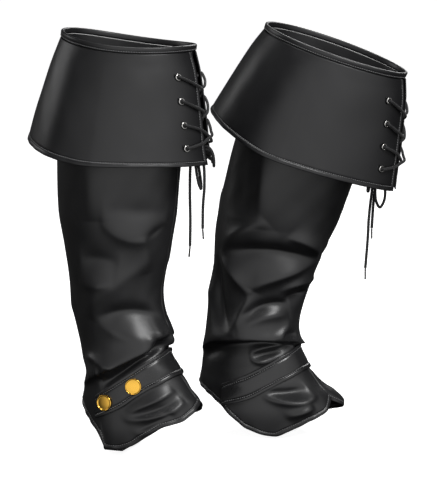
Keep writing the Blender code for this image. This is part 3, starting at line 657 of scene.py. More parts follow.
# The panels' own sizes, and how close their grids' lines lie at the edges.
LEATHER = 1.6
GAP = 0.35
SEAM_LAPS = 0.1
BAND_DEEP = 8.0
UNDER_CUFF = 396.0
ANKLE = 130.0
SEAM_ROLLS_IN = 1.5
PANEL_COLUMNS = 84
ROWS_UNDER_CUFF = 18
ROWS_ON_SHAFT = 136
ROWS_ON_FOOT = 48
SEAM_PUCKERS = 0.35
HEM_PUCKERS = 0.5
LEG_WAVES = 0.5
NEAR_EDGE = [0.0, 0.2, 0.5, 0.9, 1.6, 2.6]
STITCHES_FROM_SEAM = 3
NEAR_HEM = [8.5, 7.3, 6.5, 5.9, 5.4, 5.0, 4.6, 4.1, 3.2, 2.0, 0.9, 0.5, 0.2, 0.0]

#    angle  height
RIGHT.hem = [
    (0, 68), (20, 58), (38, 48), (53, 43), (65, 32), (80, 15), (90, 10), (106, 10), (112, 24),
    (120, 36), (140, 53), (165, 67), (180, 70),
]
LEFT.hem = [
    (0, 52), (20, 36), (40, 26), (60, 11), (70, 4), (76, 5), (90, 14), (110, 34), (120, 46), (140, 59),
    (165, 67), (180, 70),
]

leg_leather = leather("leg_leather", dark=0.012, light=0.018, smooth=0.36, dull=0.44)


def mouth_height(cover, angle):
    """The rim's height, which dips at the sides with the square of the sine."""
    return cover.rim - cover.dip * np.sin(np.radians(angle)) ** 2


def hem_rise(cover, angle):
    """The hem's height, and how much longer a step along the slope makes a step up from it."""
    turn = np.abs(angle)
    slope = (through(turn + 0.5, cover.hem, 1) - through(turn - 0.5, cover.hem, 1)) / MM_PER_DEGREE
    return through(turn, cover.hem, 1), np.sqrt(1 + slope**2)


def soft_waves(angle, height, size):
    """Slight unevenness of soft leather: four crossed waves of unlike length."""
    turn = np.radians(angle)
    return size * (
        0.34 * np.sin(5 * turn + height / 31)
        + 0.27 * np.sin(9 * turn - height / 19 + 1.3)
        + 0.22 * np.sin(3 * turn - height / 13 + 2.1)
        + 0.17 * np.sin(14 * turn + height / 9 + 0.4)
    )


def panel(cover, side):
    """One leg panel: a grid of angle by height on leg_face, rolled in at its seams and raised at its hem."""
    which = "outer" if side == cover.outer else "inner"
    name = f"{cover.name}_{which}_panel"
    turn = graded(-SEAM_LAPS, 180 + SEAM_LAPS, PANEL_COLUMNS, np.array(NEAR_EDGE) / MM_PER_DEGREE)
    angles = side * turn
    top = mouth_height(cover, angles) - BAND_DEEP - GAP
    hem, longer = hem_rise(cover, angles)
    hem_zone = hem + np.array(NEAR_HEM)[:, None] * longer
    covered = np.linspace(0, 1, ROWS_UNDER_CUFF, endpoint=False)[:, None]
    foot = np.linspace(0, 1, ROWS_ON_FOOT, endpoint=False)[:, None]
    near_top = top - np.array(NEAR_EDGE[:-1])[:, None]
    heights = np.concatenate(
        [
            near_top,
            top - NEAR_EDGE[-1] + (UNDER_CUFF - top + NEAR_EDGE[-1]) * covered,
            np.linspace(UNDER_CUFF, ANKLE, ROWS_ON_SHAFT, endpoint=False)[:, None] + 0 * angles,
            ANKLE + (hem_zone[0] - ANKLE) * foot,
            hem_zone,
        ]
    )
    angle = np.broadcast_to(angles, heights.shape)
    from_seam = (np.minimum(turn, 180 - turn) + SEAM_LAPS) * MM_PER_DEGREE
    from_hem = (heights - hem) / longer
    out = -SEAM_ROLLS_IN * fall_off(from_seam, 1.3) + turned_edge(from_hem)
    out = out + SEAM_PUCKERS * np.sin(heights / 4.1) * fall_off(from_seam, 6)
    uneven = np.sin(angle / 2.4 + 0.6 * np.sin(angle / 7))
    out = out + HEM_PUCKERS * uneven * fall_off(from_hem, 7)
    out = out + soft_waves(angle, heights, LEG_WAVES) * eased((from_hem - 6) / 10)
    points = leg_face(cover, angle, heights, out)
    away = grid_normals(points)
    edge = np.minimum(np.minimum(from_seam, from_hem), top - heights)
    outer, inner = rounded_wall(points, away, LEATHER, edge)
    made = mesh_piece(f"{name}_leather", *wall_faces(outer, inner), leg_leather, "leg_leather", [name])
    row = len(heights) - len(NEAR_HEM) + NEAR_HEM.index(TURNED_IN)
    sewn = slice(STITCHES_FROM_SEAM, -STITCHES_FROM_SEAM)
    stitches = stitching(f"{name}_stitching", [(outer[row, sewn], away[row, sewn])], "leg_leather")


for cover in COVERS:
    for side in (1, -1):
        panel(cover, side)

# Top band
# A strip of the same leather is folded over the mouth of the leg and the cuff's top edge, and stitched
# through all layers. It shows as a narrow raised band outside, and turns down inside the mouth.
BAND_RAISED = 0.6
BAND_COLUMNS = 220
CUFF_WALL = 2.0
BAND_STITCH_DOWN = 6.4
BAND_PUCKERS = 0.12
BAND_PUCKERS_ROUND = 61

band_leather = leather("band_leather", dark=0.010, light=0.014, smooth=0.30, dull=0.40)


def fan(ring, middle):
    """Four-sided faces from an even ring of points to a middle point, two of its sides to a face."""
    return np.stack([ring[::2], ring[1::2], np.roll(ring[::2], -1), np.full(len(ring) // 2, middle)], axis=-1)


def rings(points, ends=None):
    """Points and faces of a row of rings, each joined to the next: the last one to the first too, or, where
    ends are given, the first and last rings to an end point by a fan."""
    count, sides = points.shape[:2]
    number = np.arange(count * sides).reshape(count, sides)
    above = number if ends is None else number[:-1]
    below = np.roll(number, -1, axis=0)[: len(above)]
    faces = np.stack([above, np.roll(above, -1, 1), np.roll(below, -1, 1), below], axis=-1).reshape(-1, 4)
    points = points.reshape(-1, 3)
    if ends is None:
        return points, faces
    caps = [fan(number[0][::-1], len(points)), fan(number[-1], len(points) + 1)]
    return np.concatenate([points, ends]), np.concatenate([faces, *caps])


def facing_out(points, faces, middle=0.0):
    """The faces, all turned over where the volume between them and the middle comes out below zero."""
    p, q, r = (points[faces[:, i]] - middle for i in range(3))
    return faces if (p * np.cross(q, r)).sum() > 0 else faces[:, ::-1]


def top_band(cover):
    """A closed profile carried round the mouth: up the outside, over the rounded rim and down the inside."""
    angles = np.linspace(0, 360, BAND_COLUMNS, endpoint=False)
    outside, inside = GAP + CUFF_WALL + BAND_RAISED, -LEATHER
    middle, half = (outside + inside) / 2, (outside - inside) / 2
    over = np.radians(np.linspace(0, 180, 9))
    round_top = [(middle + half * math.cos(t), half * (1 - math.sin(t)) * 0.75) for t in over]
    profile = [
        (outside - 0.5, BAND_DEEP),
        (outside - 0.1, BAND_DEEP - 0.2),
        (outside, BAND_DEEP - 0.7),
        (outside - 0.1, BAND_DEEP - 1.2),
        (outside - 0.35, BAND_STITCH_DOWN),
        (outside - 0.05, BAND_DEEP - 2.3),
        (outside + 0.1, BAND_DEEP - 3.4),
        *round_top,
        (inside, BAND_DEEP - 2.5),
        (inside, BAND_DEEP - 0.3),
        (inside + 0.4, BAND_DEEP),
    ]
    out, down = np.array(profile).T
    heights = mouth_height(cover, angles) - down[:, None]
    puckers = BAND_PUCKERS * np.sin(np.radians(angles) * BAND_PUCKERS_ROUND)
    puckers = puckers * fall_off(down[:, None] - BAND_STITCH_DOWN, 1.6)
    points = leg_face(cover, np.broadcast_to(angles, heights.shape), heights, out[:, None] + puckers)
    flat, faces = rings(points)
    name = f"{cover.name}_top_band"
    made = mesh_piece(f"{name}_leather", flat, facing_out(flat, faces), band_leather, "band_leather", [name])
    row = list(down).index(BAND_STITCH_DOWN)
    line = np.concatenate([points[row], points[row, :1]])
    away = (line - flat.mean(axis=0)) * [1, 1, 0]
    stitches = stitching(f"{name}_stitching", [(line, unit(away))], "band_leather")


for cover in COVERS:
    top_band(cover)

# Cuffs
# One wide piece of leather lined with itself, sewn into the band and turned down over the leg. It is open at
# the front, where the two edges almost meet, and every free edge is turned under and stitched.
OPENING_ANGLE = 7.0
CUFF_SEAM = 0.9
CUFF_COLUMNS = 176
CUFF_ROWS = 62
CUFF_DEEP = 152.0
CUFF_TURNED_IN = 6.0
CUFF_MM_PER_DEGREE = 1.9
CUFF_WAVES = 0.5
CUFF_PUCKERS = 0.25
CUFF_STEPS = NEAR_EDGE + [4.2, 5.2, 5.6, 6.0, 6.4, 6.9, 8.0]
EYELETS_DOWN = [0.20, 0.405, 0.61, 0.81]
EYELET_FROM_EDGE = 34.0
EYELET_HOLE = 2.7
EYELET_BARREL = 3.2
EYELET_FLANGE = 4.6

#    down  front  back  side  point
CUFF_FLARE = [
    (0.00, 2.35, 2.35, 2.35, 1.05),
    (0.17, 12.0, 10.0, 9.0, 1.12),
    (0.50, 24.0, 22.0, 20.0, 1.20),
    (1.00, 39.0, 37.0, 34.0, 1.22),
]

#    angle  height
RIGHT.cuff_edge = [(0, 395), (60, 396), (90, 396), (125, 404), (150, 411), (180, 415)]
LEFT.cuff_edge = [(0, 394), (60, 398), (90, 399), (120, 406), (150, 416), (180, 420)]

# Where each cuff's leather bends more sharply or lies flatter on its way round.
#    angle  width  rise at the edge
RIGHT.cuff_bends = [(118, 13, 2.2), (52, 16, -1.4), (-46, 15, -1.2), (-104, 14, 2.0), (164, 12, -1.2)]
LEFT.cuff_bends = [(101, 11, 3.2), (124, 10, -1.6), (44, 16, -1.2), (-60, 16, 1.6), (-118, 14, -1.8)]

# Painted shade: the cuff's leather is the leg's, coloured darker to hold back the light the flared cuff
# catches.
cuff_leather = leather("cuff_leather", dark=0.005, light=0.008, smooth=0.35, dull=0.43)


def cuff_face(cover, angle, down, out=0.0):
    """The cuff's outer face: the mouth's oval grown by the flare, from its top (down = 0) to its edge (1)."""
    mouth = [through(cover.rim, cover.sections, column) for column in (1, 2, 3)]
    flare = [through(down, CUFF_FLARE, column) for column in (1, 2, 3)]
    forward, side = oval(angle, *[a + b for a, b in zip(mouth, flare)], through(down, CUFF_FLARE, 4))
    top = mouth_height(cover, angle) - BAND_DEEP - CUFF_SEAM
    height = top + (through(np.abs(angle), cover.cuff_edge, 1) - top) * down
    turn = np.radians(angle)
    return on_leg(cover, forward + out * np.cos(turn), side + out * np.sin(turn), height)


def cuff_normal(cover, angle, down):
    """The way out of the cuff at some places, from small steps round it and down it."""
    round_it = cuff_face(cover, angle + 0.5, down) - cuff_face(cover, angle - 0.5, down)
    downwards = cuff_face(cover, angle, down + 0.003) - cuff_face(cover, angle, down - 0.003)
    return unit(np.cross(round_it, downwards))


def eyelet_angle(cover, side, down):
    """The angle at which the cuff's face has run EYELET_FROM_EDGE from its front edge."""
    angles = side * np.linspace(OPENING_ANGLE, 90.0, 400)
    line = cuff_face(cover, angles, np.full(400, down)) / MM
    return float(np.interp(EYELET_FROM_EDGE, run_along(line), angles))


def eyelet_place(cover, side, row):
    """An eyelet's place on the cuff's outer face, and the way out."""
    down = np.array([EYELETS_DOWN[row]])
    angle = np.array([eyelet_angle(cover, side, down[0])])
    return cuff_face(cover, angle, down)[0], cuff_normal(cover, angle, down)[0]


def cuff(cover):
    """The cuff as a grid of angle by down, with the cells over the eight eyelet holes left out."""
    name = f"{cover.name}_cuff"
    near_front = np.array(CUFF_STEPS) / CUFF_MM_PER_DEGREE
    angles = graded(OPENING_ANGLE, 360 - OPENING_ANGLE, CUFF_COLUMNS, near_front)
    angles = np.where(angles > 180, angles - 360, angles)
    downs = graded(0.0, 1.0, CUFF_ROWS, np.array(CUFF_STEPS) / CUFF_DEEP)[:, None] + 0 * angles
    angle = np.broadcast_to(angles, downs.shape)
    from_front = (np.abs(angle) - OPENING_ANGLE) * CUFF_MM_PER_DEGREE
    from_bottom, from_top = (1 - downs) * CUFF_DEEP, downs * CUFF_DEEP
    hemmed = np.minimum(from_front, from_bottom)
    free = eased(from_top / 20)
    out = turned_edge(hemmed, CUFF_TURNED_IN) + soft_waves(angle, from_top, CUFF_WAVES) * free
    out = out + CUFF_PUCKERS * np.sin(angle / 1.9) * fall_off(from_bottom, 8)
    for bend, width, rise in cover.cuff_bends:
        out = out + rise * (0.5 + 0.5 * downs) * free * fall_off(angle - bend, width)
    points = cuff_face(cover, angle, downs, out)
    away = grid_normals(points)
    outer, inner = rounded_wall(points, away, CUFF_WALL, np.minimum(hemmed, from_top))
    cells = (points[:-1, :-1] + points[1:, 1:]) / 2
    kept = np.ones(cells.shape[:2], bool)
    for side in (1, -1):
        for row in range(len(EYELETS_DOWN)):
            place, _ = eyelet_place(cover, side, row)
            kept &= np.linalg.norm(cells - place, axis=-1) > (EYELET_BARREL + 0.6) * MM
    wall = wall_faces(outer, inner, kept)
    made = mesh_piece(f"{name}_leather", *wall, cuff_leather, "cuff_leather", [name])
    stitch = CUFF_STEPS.index(CUFF_TURNED_IN)
    rows = [
        (outer[stitch:-stitch, stitch], away[stitch:-stitch, stitch]),
        (outer[stitch:-stitch, -stitch - 1], away[stitch:-stitch, -stitch - 1]),
        (outer[-stitch - 1, stitch:-stitch], away[-stitch - 1, stitch:-stitch]),
    ]
    stitches = stitching(f"{name}_stitching", rows, "cuff_leather")


for cover in COVERS:
    cuff(cover)

# Eyelets
# Four rings on each front edge of the cuff carry the lace. They are nickel plated brass, set through the
# leather and rolled over at the back.
EYELET_SIDES = 40
EYELET_CLEAR = 0.5
EYELET_FLANGE_RISES = 0.8
EYELET_BACK = 4.0

nickel = paint("nickel", base_color=(0.66, 0.65, 0.63, 1.0), metallic=1.0, roughness=0.24)


def turned(profile, centre, axis, count, poles=False):
    """Points and faces of a profile of (radius, along) carried round an axis: a closed loop, or from a pole
    to a pole, where the first and last rings are closed by fans."""
    axis = unit(axis)
    one = unit(np.cross(axis, [1.0, 0.2, 0.0] if abs(axis[2]) > 0.9 else [0.0, 0.0, 1.0]))
    two = np.cross(axis, one)
    radius, along = np.array(profile).T[:, :, None, None] * MM
    turn = np.linspace(0, 2 * math.pi, count, endpoint=False)[None, :, None]
    points = centre + axis * along + (one * np.cos(turn) + two * np.sin(turn)) * radius
    ends = [centre + axis * along[end].ravel() for end in (0, -1)] if poles else None
    points, faces = rings(points, ends)
    return points, facing_out(points, faces, centre)


def ring_profile(hole, flange, thick, low, back):
    """An eyelet's section: barrel, rounded front flange, and the rolled edge at the back."""
    over = np.radians(np.linspace(180, 0, 9))
    middle, half = (hole + flange) / 2, (flange - hole) / 2
    front = [(middle + half * math.cos(t), low + 0.15 + thick * math.sin(t)) for t in over]
    rolled = [(EYELET_BARREL, -1.9), (back, -2.3), (back - 0.2, -2.8), (EYELET_BARREL, -2.9)]
    return [(hole, -1.4), *front, (flange - 0.3, low), (EYELET_BARREL, low), *rolled, (hole + 0.1, -2.4)]


eyelet_section = ring_profile(EYELET_HOLE, EYELET_FLANGE, EYELET_FLANGE_RISES, EYELET_CLEAR, EYELET_BACK)
for cover in COVERS:
    for side, where in ((cover.outer, "outer"), (-cover.outer, "inner")):
        for row in range(len(EYELETS_DOWN)):
            name = f"{cover.name}_eyelet_{where}_{row + 1}"
            place, out = eyelet_place(cover, side, row)
            shape = turned(eyelet_section, place, out, EYELET_SIDES)
            mesh_piece(f"{name}_ring", *shape, nickel, "eyelet_metal", [name])

# Laces
# One round braided cord of matt black polyester closes the front of each cuff. It runs from a bar behind the
# top row of eyelets down to the last row, and both halves cross over between the rows.
LACE = 4.0
LACE_BAR = -5.2
LACE_BAR_ANGLE = 12.0
LACE_SIDES = 12
LACE_STEP = 0.8
BRAID_RIDGES = 4
BRAID_PERIOD = 3.4
BRAID_RISES = 0.07

# The lace through an eyelet and round its edge, outwards and inwards.
#    along  out
EYELET_OUTWARDS = [(0.0, -2.4), (0.0, 0.4), (0.6, 2.4), (3.0, 4.1)]
EYELET_INWARDS = [(3.8, -5.1), (0.9, -4.2), (0.0, -1.6), (0.0, 0.6)]

# At the last eyelet the lace goes back inside, turns down to the knot, and stops clear of it.
LAST_ROW = 3
LACE_GOES_IN = (0.4, -1.8)
LACE_BEHIND = 7.0
LACE_TURNS_BEHIND = 4.4
LACE_TURN_LONG = 1.6
KNOT_CLEAR = 7.8

# The lace on its way from an eyelet to the next row's eyelet on the other edge.
#    share of the way  share of the fall  out
LACE_UNDER_FIRST = [
    (0.20, 0.25, 3.9), (0.40, 0.50, 3.3), (0.50, 0.62, 1.4), (0.56, 0.72, -2.0), (0.62, 0.80, -4.8),
    (0.72, 0.87, -5.3), (0.82, 0.92, -5.2),
]
LACE_UNDER_LAST = [
    (0.20, 0.25, 3.9), (0.38, 0.44, 3.0), (0.44, 0.52, 0.0), (0.50, 0.60, -3.6), (0.60, 0.74, -5.2),
    (0.80, 0.90, -5.2),
]
LACE_OVER_FIRST = [(0.25, 0.20, 3.6), (0.50, 0.50, 2.7), (0.75, 0.80, 3.6)]
LACE_OVER_LAST = [
    (0.25, 0.20, 3.6), (0.38, 0.36, 4.8), (0.50, 0.50, 7.4), (0.62, 0.64, 4.8), (0.75, 0.80, 3.6),
]

#    forward  side  height, from the ankle's axis and the floor
RIGHT.knot = (95.0, 0.0, 406.0)
LEFT.knot = (167.0, 0.0, 364.0)


def fine_relief(look, texture, distance):
    """Small bumps on a finish, from a texture on the object's own coordinates."""
    tree = look.node_tree
    place = node(tree, "TexCoord")
    bump = node(tree, "Bump", strength=0.5, distance=distance)
    wire(
        tree,
        (place, "Object", texture, "Vector"),
        (texture, "Fac", bump, "Height"),
        (bump, "Normal", tree.nodes["Principled BSDF"], "Normal"),
    )


cord_look = paint("braided_cord", base_color=near_black(0.010), roughness=0.72, sheen_weight=0.15)
fine_relief(cord_look, node(cord_look.node_tree, "TexNoise", scale=2600.0, detail=2.0), 0.0001)


def cuff_place(cover, angle, down, out):
    """A place off the cuff's outer face."""
    angle, down = np.array([angle]), np.array([down])
    return (cuff_face(cover, angle, down) + cuff_normal(cover, angle, down) * out * MM)[0]


def through_eyelet(cover, side, row, towards, outwards):
    """Places of the lace through an eyelet and round its edge, from inside to outside or the other way."""
    place, out = eyelet_place(cover, side, row)
    run = cuff_place(cover, *towards) - place
    run = unit(run - out * (run @ out))
    steps = EYELET_OUTWARDS if outwards else EYELET_INWARDS
    return [place + (run * along + out * off) * MM for along, off in steps]


def crossing(cover, side, row, steps):
    """Places of the lace, in the cuff's terms, between an eyelet and the next row's on the other edge."""
    start, end = EYELETS_DOWN[row], EYELETS_DOWN[row + 1]
    first, last = eyelet_angle(cover, side, start), eyelet_angle(cover, -side, end)
    return [(first + (last - first) * share, start + (end - start) * fall, out) for share, fall, out in steps]


def strand(cover, side, under, over):
    """One half of the lace, from the bar behind the top row to the last row and the knot."""
    bar = (side * LACE_BAR_ANGLE, EYELETS_DOWN[0], LACE_BAR)
    places = [cuff_place(cover, *bar)]
    places += through_eyelet(cover, side, 0, bar, outwards=False)
    for row, steps in enumerate([under, under, over]):
        way = crossing(cover, side, row, steps)
        places += through_eyelet(cover, side, row, way[0], outwards=True)[2:]
        places += [cuff_place(cover, *step) for step in way]
        side = -side
        if steps is under:
            places += through_eyelet(cover, side, row + 1, way[-1], outwards=False)
    places += through_eyelet(cover, side, LAST_ROW, way[-1], outwards=True)[:1:-1]
    knot = stand(cover, *cover.knot)
    place, out = eyelet_place(cover, side, LAST_ROW)
    places += [place + out * off * MM for off in LACE_GOES_IN]
    behind = place - out * LACE_BEHIND * MM
    run = unit(knot - behind)
    places += [
        place + (run * LACE_TURN_LONG - out * LACE_TURNS_BEHIND) * MM,
        behind + run * LACE_BEHIND * MM,
        knot - run * KNOT_CLEAR * MM,
    ]
    return places


def smooth_route(places):
    """A curve through each place, a Catmull-Rom spline, with points LACE_STEP apart along it."""
    places = np.asarray(places, float)
    padded = np.concatenate([[2 * places[0] - places[1]], places, [2 * places[-1] - places[-2]]])
    a, b, c, d = (padded[i : len(padded) - 3 + i, None] for i in range(4))
    t = np.linspace(0, 1, 24, endpoint=False)[None, :, None]
    legs = 0.5 * (2 * b + (c - a) * t + (2 * a - 5 * b + 4 * c - d) * t**2 + (3 * b - a - 3 * c + d) * t**3)
    fine = np.concatenate([legs.reshape(-1, 3), places[-1:]])
    run = run_along(fine)
    at = np.linspace(0, run[-1], int(run[-1] / (LACE_STEP * MM)) + 1)
    return np.stack([np.interp(at, run, fine[:, i]) for i in range(3)], axis=-1)


def braided(places):
    """Points and faces of a braided cord: a round section with crossed ridges, carried along a route.

    The section doesn't twist: each ring's first side is the last one's, made square to the route again."""
    route = smooth_route(places)
    ahead = unit(np.gradient(route, axis=0))
    sides = [unit(np.cross(ahead[0], [0.31, 0.22, 0.93]))]
    for way in ahead[1:]:
        sides.append(unit(sides[-1] - way * (sides[-1] @ way)))
    one = np.array(sides)
    two = np.cross(ahead, one)
    turn = np.linspace(0, 2 * math.pi, LACE_SIDES, endpoint=False)[None, :]
    run = np.arange(len(route))[:, None] * LACE_STEP * 2 * math.pi / BRAID_PERIOD
    ridge = np.maximum(np.cos(BRAID_RIDGES * turn + run), np.cos(BRAID_RIDGES * turn - run))
    radius = (LACE / 2 * (1 - BRAID_RISES + BRAID_RISES * ridge) * MM)[..., None]
    spoke = one[:, None] * np.cos(turn)[..., None] + two[:, None] * np.sin(turn)[..., None]
    return *rings(route[:, None] + radius * spoke, [route[0], route[-1]]), route


for cover in COVERS:
    name = f"{cover.name}_lace"
    one = strand(cover, 1, LACE_UNDER_FIRST, LACE_OVER_FIRST)
    two = strand(cover, -1, LACE_UNDER_LAST, LACE_OVER_LAST)
    points, faces, _ = braided(one[::-1] + two)
    mesh_piece(f"{name}_cord", points, faces, cord_look, "lace_cord", [name])

# Knots, loops and free ends
# The lace is tied in a bow behind the cuff's lower edge. Two loops and two ends hang down from the knot, and
# a thin plastic aglet is crimped round each end.
KNOT_TURNS = 2.6
KNOT_RADIUS = 5.6
KNOT_HALF_LONG = 4.6
KNOT_POINTS = 40
AGLET = 2.4
AGLET_SIDES = 24

#    forward  side  height
RIGHT.loops = [
    [
        (101.5, 3.2, 412.5), (108, 4, 414.5), (115.5, 4.5, 413.5), (121, 5, 406), (122.5, 4, 396),
        (121, 0, 388.5), (119, -4, 396), (117.5, -5, 403), (112.5, -4.5, 408.5), (106.5, -4, 409),
    ],
    [
        (97, 4, 398), (98, 5.5, 386), (101, 5, 368), (103, 0, 358), (101, -5, 368), (98, -5.5, 386),
        (97, -4, 398),
    ],
]
RIGHT.ends = [
    [(91, 1, 398), (88.5, 1, 384), (88, 1, 350), (88.5, 1, 316), (88, 1, 281)],
    [(103.5, 1, 403), (107, 0, 390), (107.5, -1, 362), (105.5, -1, 335), (105, -1, 305)],
]
RIGHT.aglets = [[(88, 1, 280.5), (86.5, 1, 266.5)], [(105, -1, 304.5), (106, -1, 291)]]
LEFT.loops = [
    [
        (161.8, 3.8, 358.2), (157.8, 6, 351), (156.5, 3.5, 343), (156.5, -3.5, 343), (157.8, -6, 351),
        (161.8, -3.8, 358.2),
    ],
    [
        (168, 4.2, 355.6), (167, 4.5, 346), (168, 4, 331), (173, 1.5, 321), (178.5, -2, 331),
        (178.5, -4.5, 346), (173, -4.5, 357.5),
    ],
]
LEFT.ends = [
    [(167.5, -3, 355.5), (165, -5, 345), (162.5, -6, 322), (161, -5, 291)],
    [
        (163.2, 0.5, 356.2), (162, 0.5, 345), (158.5, 2, 310), (157, 2, 278), (155, 2, 250),
        (154, 2, 237),
    ],
]
LEFT.aglets = [[(161, -5, 290.5), (161, -5, 276.5)], [(154, 2, 236.5), (154, 2, 221)]]

aglet_look = paint("aglet_plastic", base_color=near_black(0.012), roughness=0.22)


def aglet(cover, number, top, tip):
    """A thin sleeve over the lace's end: a profile crimped twice and rounded at its tip, turned round it."""
    long = np.linalg.norm(tip - top) / MM
    radius = AGLET / 2
    profile = [
        (radius - 0.25, 0.0),
        (radius, 0.3),
        (radius, long * 0.24),
        (radius - 0.16, long * 0.28),
        (radius, long * 0.32),
        (radius, long * 0.66),
        (radius - 0.16, long * 0.70),
        (radius, long * 0.74),
        (radius, long - 1.0),
        (radius - 0.2, long - 0.4),
        (radius - 0.6, long),
    ]
    name = f"{cover.name}_aglet_{number}"
    shape = turned(profile, top, tip - top, AGLET_SIDES, poles=True)
    return mesh_piece(f"{name}_sleeve", *shape, aglet_look, "aglet", [name])


def knot(cover):
    """The wraps of the bow's knot: a short coil whose ends turn into its middle."""
    share = np.linspace(0, 1, KNOT_POINTS)
    turn = share * KNOT_TURNS * 2 * math.pi
    radius = KNOT_RADIUS * np.minimum(1, 0.25 + 6 * np.minimum(share, 1 - share))
    forward, side, height = cover.knot
    wraps = stand(
        cover,
        forward + radius * np.cos(turn),
        side + KNOT_HALF_LONG * (2 * share - 1),
        height + radius * np.sin(turn),
    )
    points, faces, _ = braided(wraps)
    name = f"{cover.name}_lace_knot"
    mesh_piece(f"{name}_wraps", points, faces, cord_look, "lace_cord", [name])


def lace_part(cover, part, places):
    """A loop or a free end of the lace, a braided cord from the knot through its places, and its route."""
    name = f"{cover.name}_lace_{part}"
    points, faces, route = braided(stand(cover, *np.array(places).T))
    return mesh_piece(f"{name}_cord", points, faces, cord_look, "lace_cord", [name]), route


for cover in COVERS:
    knot(cover)
    for number, loop in enumerate(cover.loops, 1):
        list(lace_part(cover, f"loop_{number}", loop))
    for number, (end, tips) in enumerate(zip(cover.ends, cover.aglets), 1):
        made, route = lace_part(cover, f"end_{number}", end)
        sleeve = aglet(cover, number, *stand(cover, *np.array(tips).T))

# Ankle straps
# One strip of the same leather with both long edges turned under and stitched. It starts on the inner side,
# crosses the instep and is buttoned on the outer side.
STRAP_WALL = 1.8
STRAP_CLEAR = 1.3
STRAP_COLUMNS = 150
STRAP_ROWS = 10
STRAP_DEEP = 32.0
STRAP_CROWN = 0.5
STRAP_WAVES = 0.25
STRAP_STEPS = NEAR_EDGE + [3.6, 4.2, 4.6, 5.0, 5.4, 6.0]
STRAP_STITCHES_FROM_END = 4

# Painted light: the strap's leather is the leg's, coloured a little lighter to set it off from the foot, and
# smoother.
strap_leather = leather("strap_leather", dark=0.013, light=0.019, smooth=0.25, dull=0.33)


def ankle_strap(cover):
    """The strap as a grid round the leg by across the strip, standing clear of the leg's face."""
    name = f"{cover.name}_ankle_strap"
    angles = graded(-STRAP_END_ANGLE, STRAP_END_ANGLE, STRAP_COLUMNS, np.array(NEAR_EDGE) / MM_PER_DEGREE)
    low, high = through(np.abs(angles), cover.strap, 1), through(np.abs(angles), cover.strap, 2)
    across = graded(1.0, 0.0, STRAP_ROWS, np.array(STRAP_STEPS) / STRAP_DEEP)[:, None]
    heights = low + (high - low) * across
    angle = np.broadcast_to(angles, heights.shape)
    from_side = np.minimum(across, 1 - across) * STRAP_DEEP
    from_end = (STRAP_END_ANGLE - np.abs(angle)) * MM_PER_DEGREE
    crown = STRAP_CROWN * (1 - (2 * across - 1) ** 2)
    flat = leg_face(cover, angle, heights)
    away = grid_normals(flat)
    out = STRAP_CLEAR + STRAP_WALL + turned_edge(from_side) + crown
    out = out + soft_waves(angle * 1.5, heights, STRAP_WAVES)
    points = flat + away * out[..., None] * MM
    outer, inner = rounded_wall(points, away, STRAP_WALL, np.minimum(from_side, from_end))
    made = mesh_piece(f"{name}_leather", *wall_faces(outer, inner), strap_leather, "strap_leather", [name])
    stitch = STRAP_STEPS.index(TURNED_IN)
    sewn = slice(STRAP_STITCHES_FROM_END, -STRAP_STITCHES_FROM_END)
    rows = [(outer[row, sewn], away[row, sewn]) for row in (stitch, -stitch - 1)]
    stitches = stitching(f"{name}_stitching", rows, "strap_leather")


for cover in COVERS:
    ankle_strap(cover)

# Buttons
# Two gilt metal buttons hold the outer end of each strap. Each has a polished, slightly domed face inside a
# raised rim, on a flat back.
#    angle  height
BUTTONS = [(101.0, 74.0), (69.5, 96.0)]
BUTTON_CLEAR = 0.6
BUTTON_SIDES = 72

gilt = paint("gilt", base_color=(0.98, 0.56, 0.09, 1.0), metallic=1.0)
gilt_tree = gilt.node_tree
gilt_place = node(gilt_tree, "TexCoord")
gilt_wear = node(gilt_tree, "TexNoise", scale=420.0, detail=3.0)
gilt_shine = node(gilt_tree, "MapRange", to_min=0.07, to_max=0.16)
wire(
    gilt_tree,
    (gilt_place, "Object", gilt_wear, "Vector"),
    (gilt_wear, "Fac", gilt_shine, "Value"),
    (gilt_shine, "Result", gilt_tree.nodes["Principled BSDF"], "Roughness"),
)

# A button from its middle out: the domed face, the rim and the flat back.
#    radius  along
BUTTON_PROFILE = [
    (0.8, 3.0), (3.0, 2.95), (6.0, 2.75), (8.2, 2.4), (9.0, 2.3), (9.3, 2.5), (9.6, 3.1), (10.0, 3.35),
    (10.5, 3.2), (10.9, 2.6), (11.0, 1.8), (10.8, 0.9), (10.2, 0.4), (9.0, 0.2), (3.0, 0.2),
]


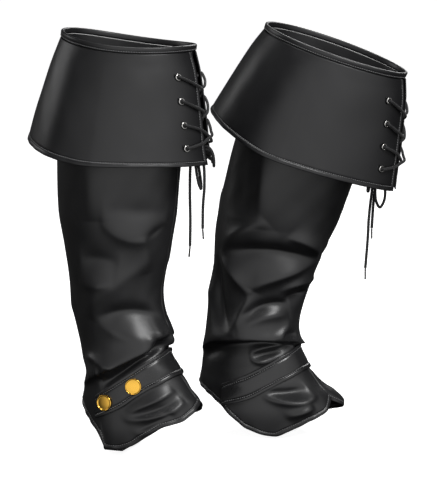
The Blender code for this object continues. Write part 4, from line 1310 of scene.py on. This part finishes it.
def button(cover, number, angle, height):
    """A button turned about the way out of the leg's face at its place, standing on the strap."""
    step = np.array([-1.0, 0.0, 1.0])
    angle, height = np.broadcast_arrays(angle + step[None, :], height - step[:, None])
    patch = leg_face(cover, angle, height)
    out = unit(np.cross(patch[2, 1] - patch[0, 1], patch[1, 2] - patch[1, 0]))
    axis = stand(cover, 0.0, 0.0, height[1, 1])
    if out @ (patch[1, 1] - axis) < 0:
        out = -out
    place = patch[1, 1] + out * (STRAP_CLEAR + STRAP_WALL + BUTTON_CLEAR) * MM
    name = f"{cover.name}_button_{number}"
    shape = turned(BUTTON_PROFILE, place, out, BUTTON_SIDES, poles=True)
    mesh_piece(f"{name}_gilt", *shape, gilt, "button_metal", [name])


for cover in COVERS:
    for number, (angle, height) in enumerate(BUTTONS, 1):
        button(cover, number, angle * cover.outer, height)

# Stirrups
# A band of black woven elastic, with ribs along its length, passes under the arch. It is sewn inside both
# hems and holds them down.
ELASTIC = 1.5
#    side  height
STIRRUP = [(44.8, 27.0), (44.8, 14.0), (42.5, 8.0), (37.0, 5.0), (0.0, 4.0)]
STIRRUP_LONG = 24.0
STIRRUP_RIBS = 9
STIRRUP_RIB_RISES = 0.16
STIRRUP_POINTS = 90
RIGHT.stirrup = -8.0
LEFT.stirrup = 26.0

elastic_look = paint("woven_elastic", base_color=near_black(0.013), roughness=0.8)
elastic_weave = node(elastic_look.node_tree, "TexWave", bands_direction="X", scale=260.0, distortion=0.6)
fine_relief(elastic_look, elastic_weave, 0.00015)


def stirrup(cover):
    """A band carried along its sagging line, its outer face ribbed by a cosine across it."""
    half = np.array(STIRRUP)
    line = np.concatenate([half, (half * [-1, 1])[-2::-1]])
    run = run_along(line)
    at = np.linspace(0, run[-1], STIRRUP_POINTS)
    line = np.stack([np.interp(at, run, line[:, 0]), np.interp(at, run, line[:, 1])], axis=-1)
    ahead = unit(np.gradient(line, axis=0))
    inwards = np.stack([ahead[:, 1], -ahead[:, 0]], axis=-1)
    across = np.linspace(-0.5, 0.5, 6 * STIRRUP_RIBS + 1)[:, None]
    rib = STIRRUP_RIB_RISES * (1 - np.cos(2 * math.pi * STIRRUP_RIBS * (across + 0.5)))
    forward = cover.stirrup + across * STIRRUP_LONG

    def face(deep):
        """The band's grid at a depth below its outer face."""
        place = [line[:, i] + inwards[:, i] * deep for i in (0, 1)]
        return stand(cover, forward + 0 * place[0], place[0] + 0 * forward, place[1] + 0 * forward)

    outer, inner = face(rib), face(ELASTIC - rib)
    name = f"{cover.name}_stirrup"
    made = mesh_piece(f"{name}_elastic", *wall_faces(outer, inner), elastic_look, "elastic", [name])


for cover in COVERS:
    stirrup(cover)
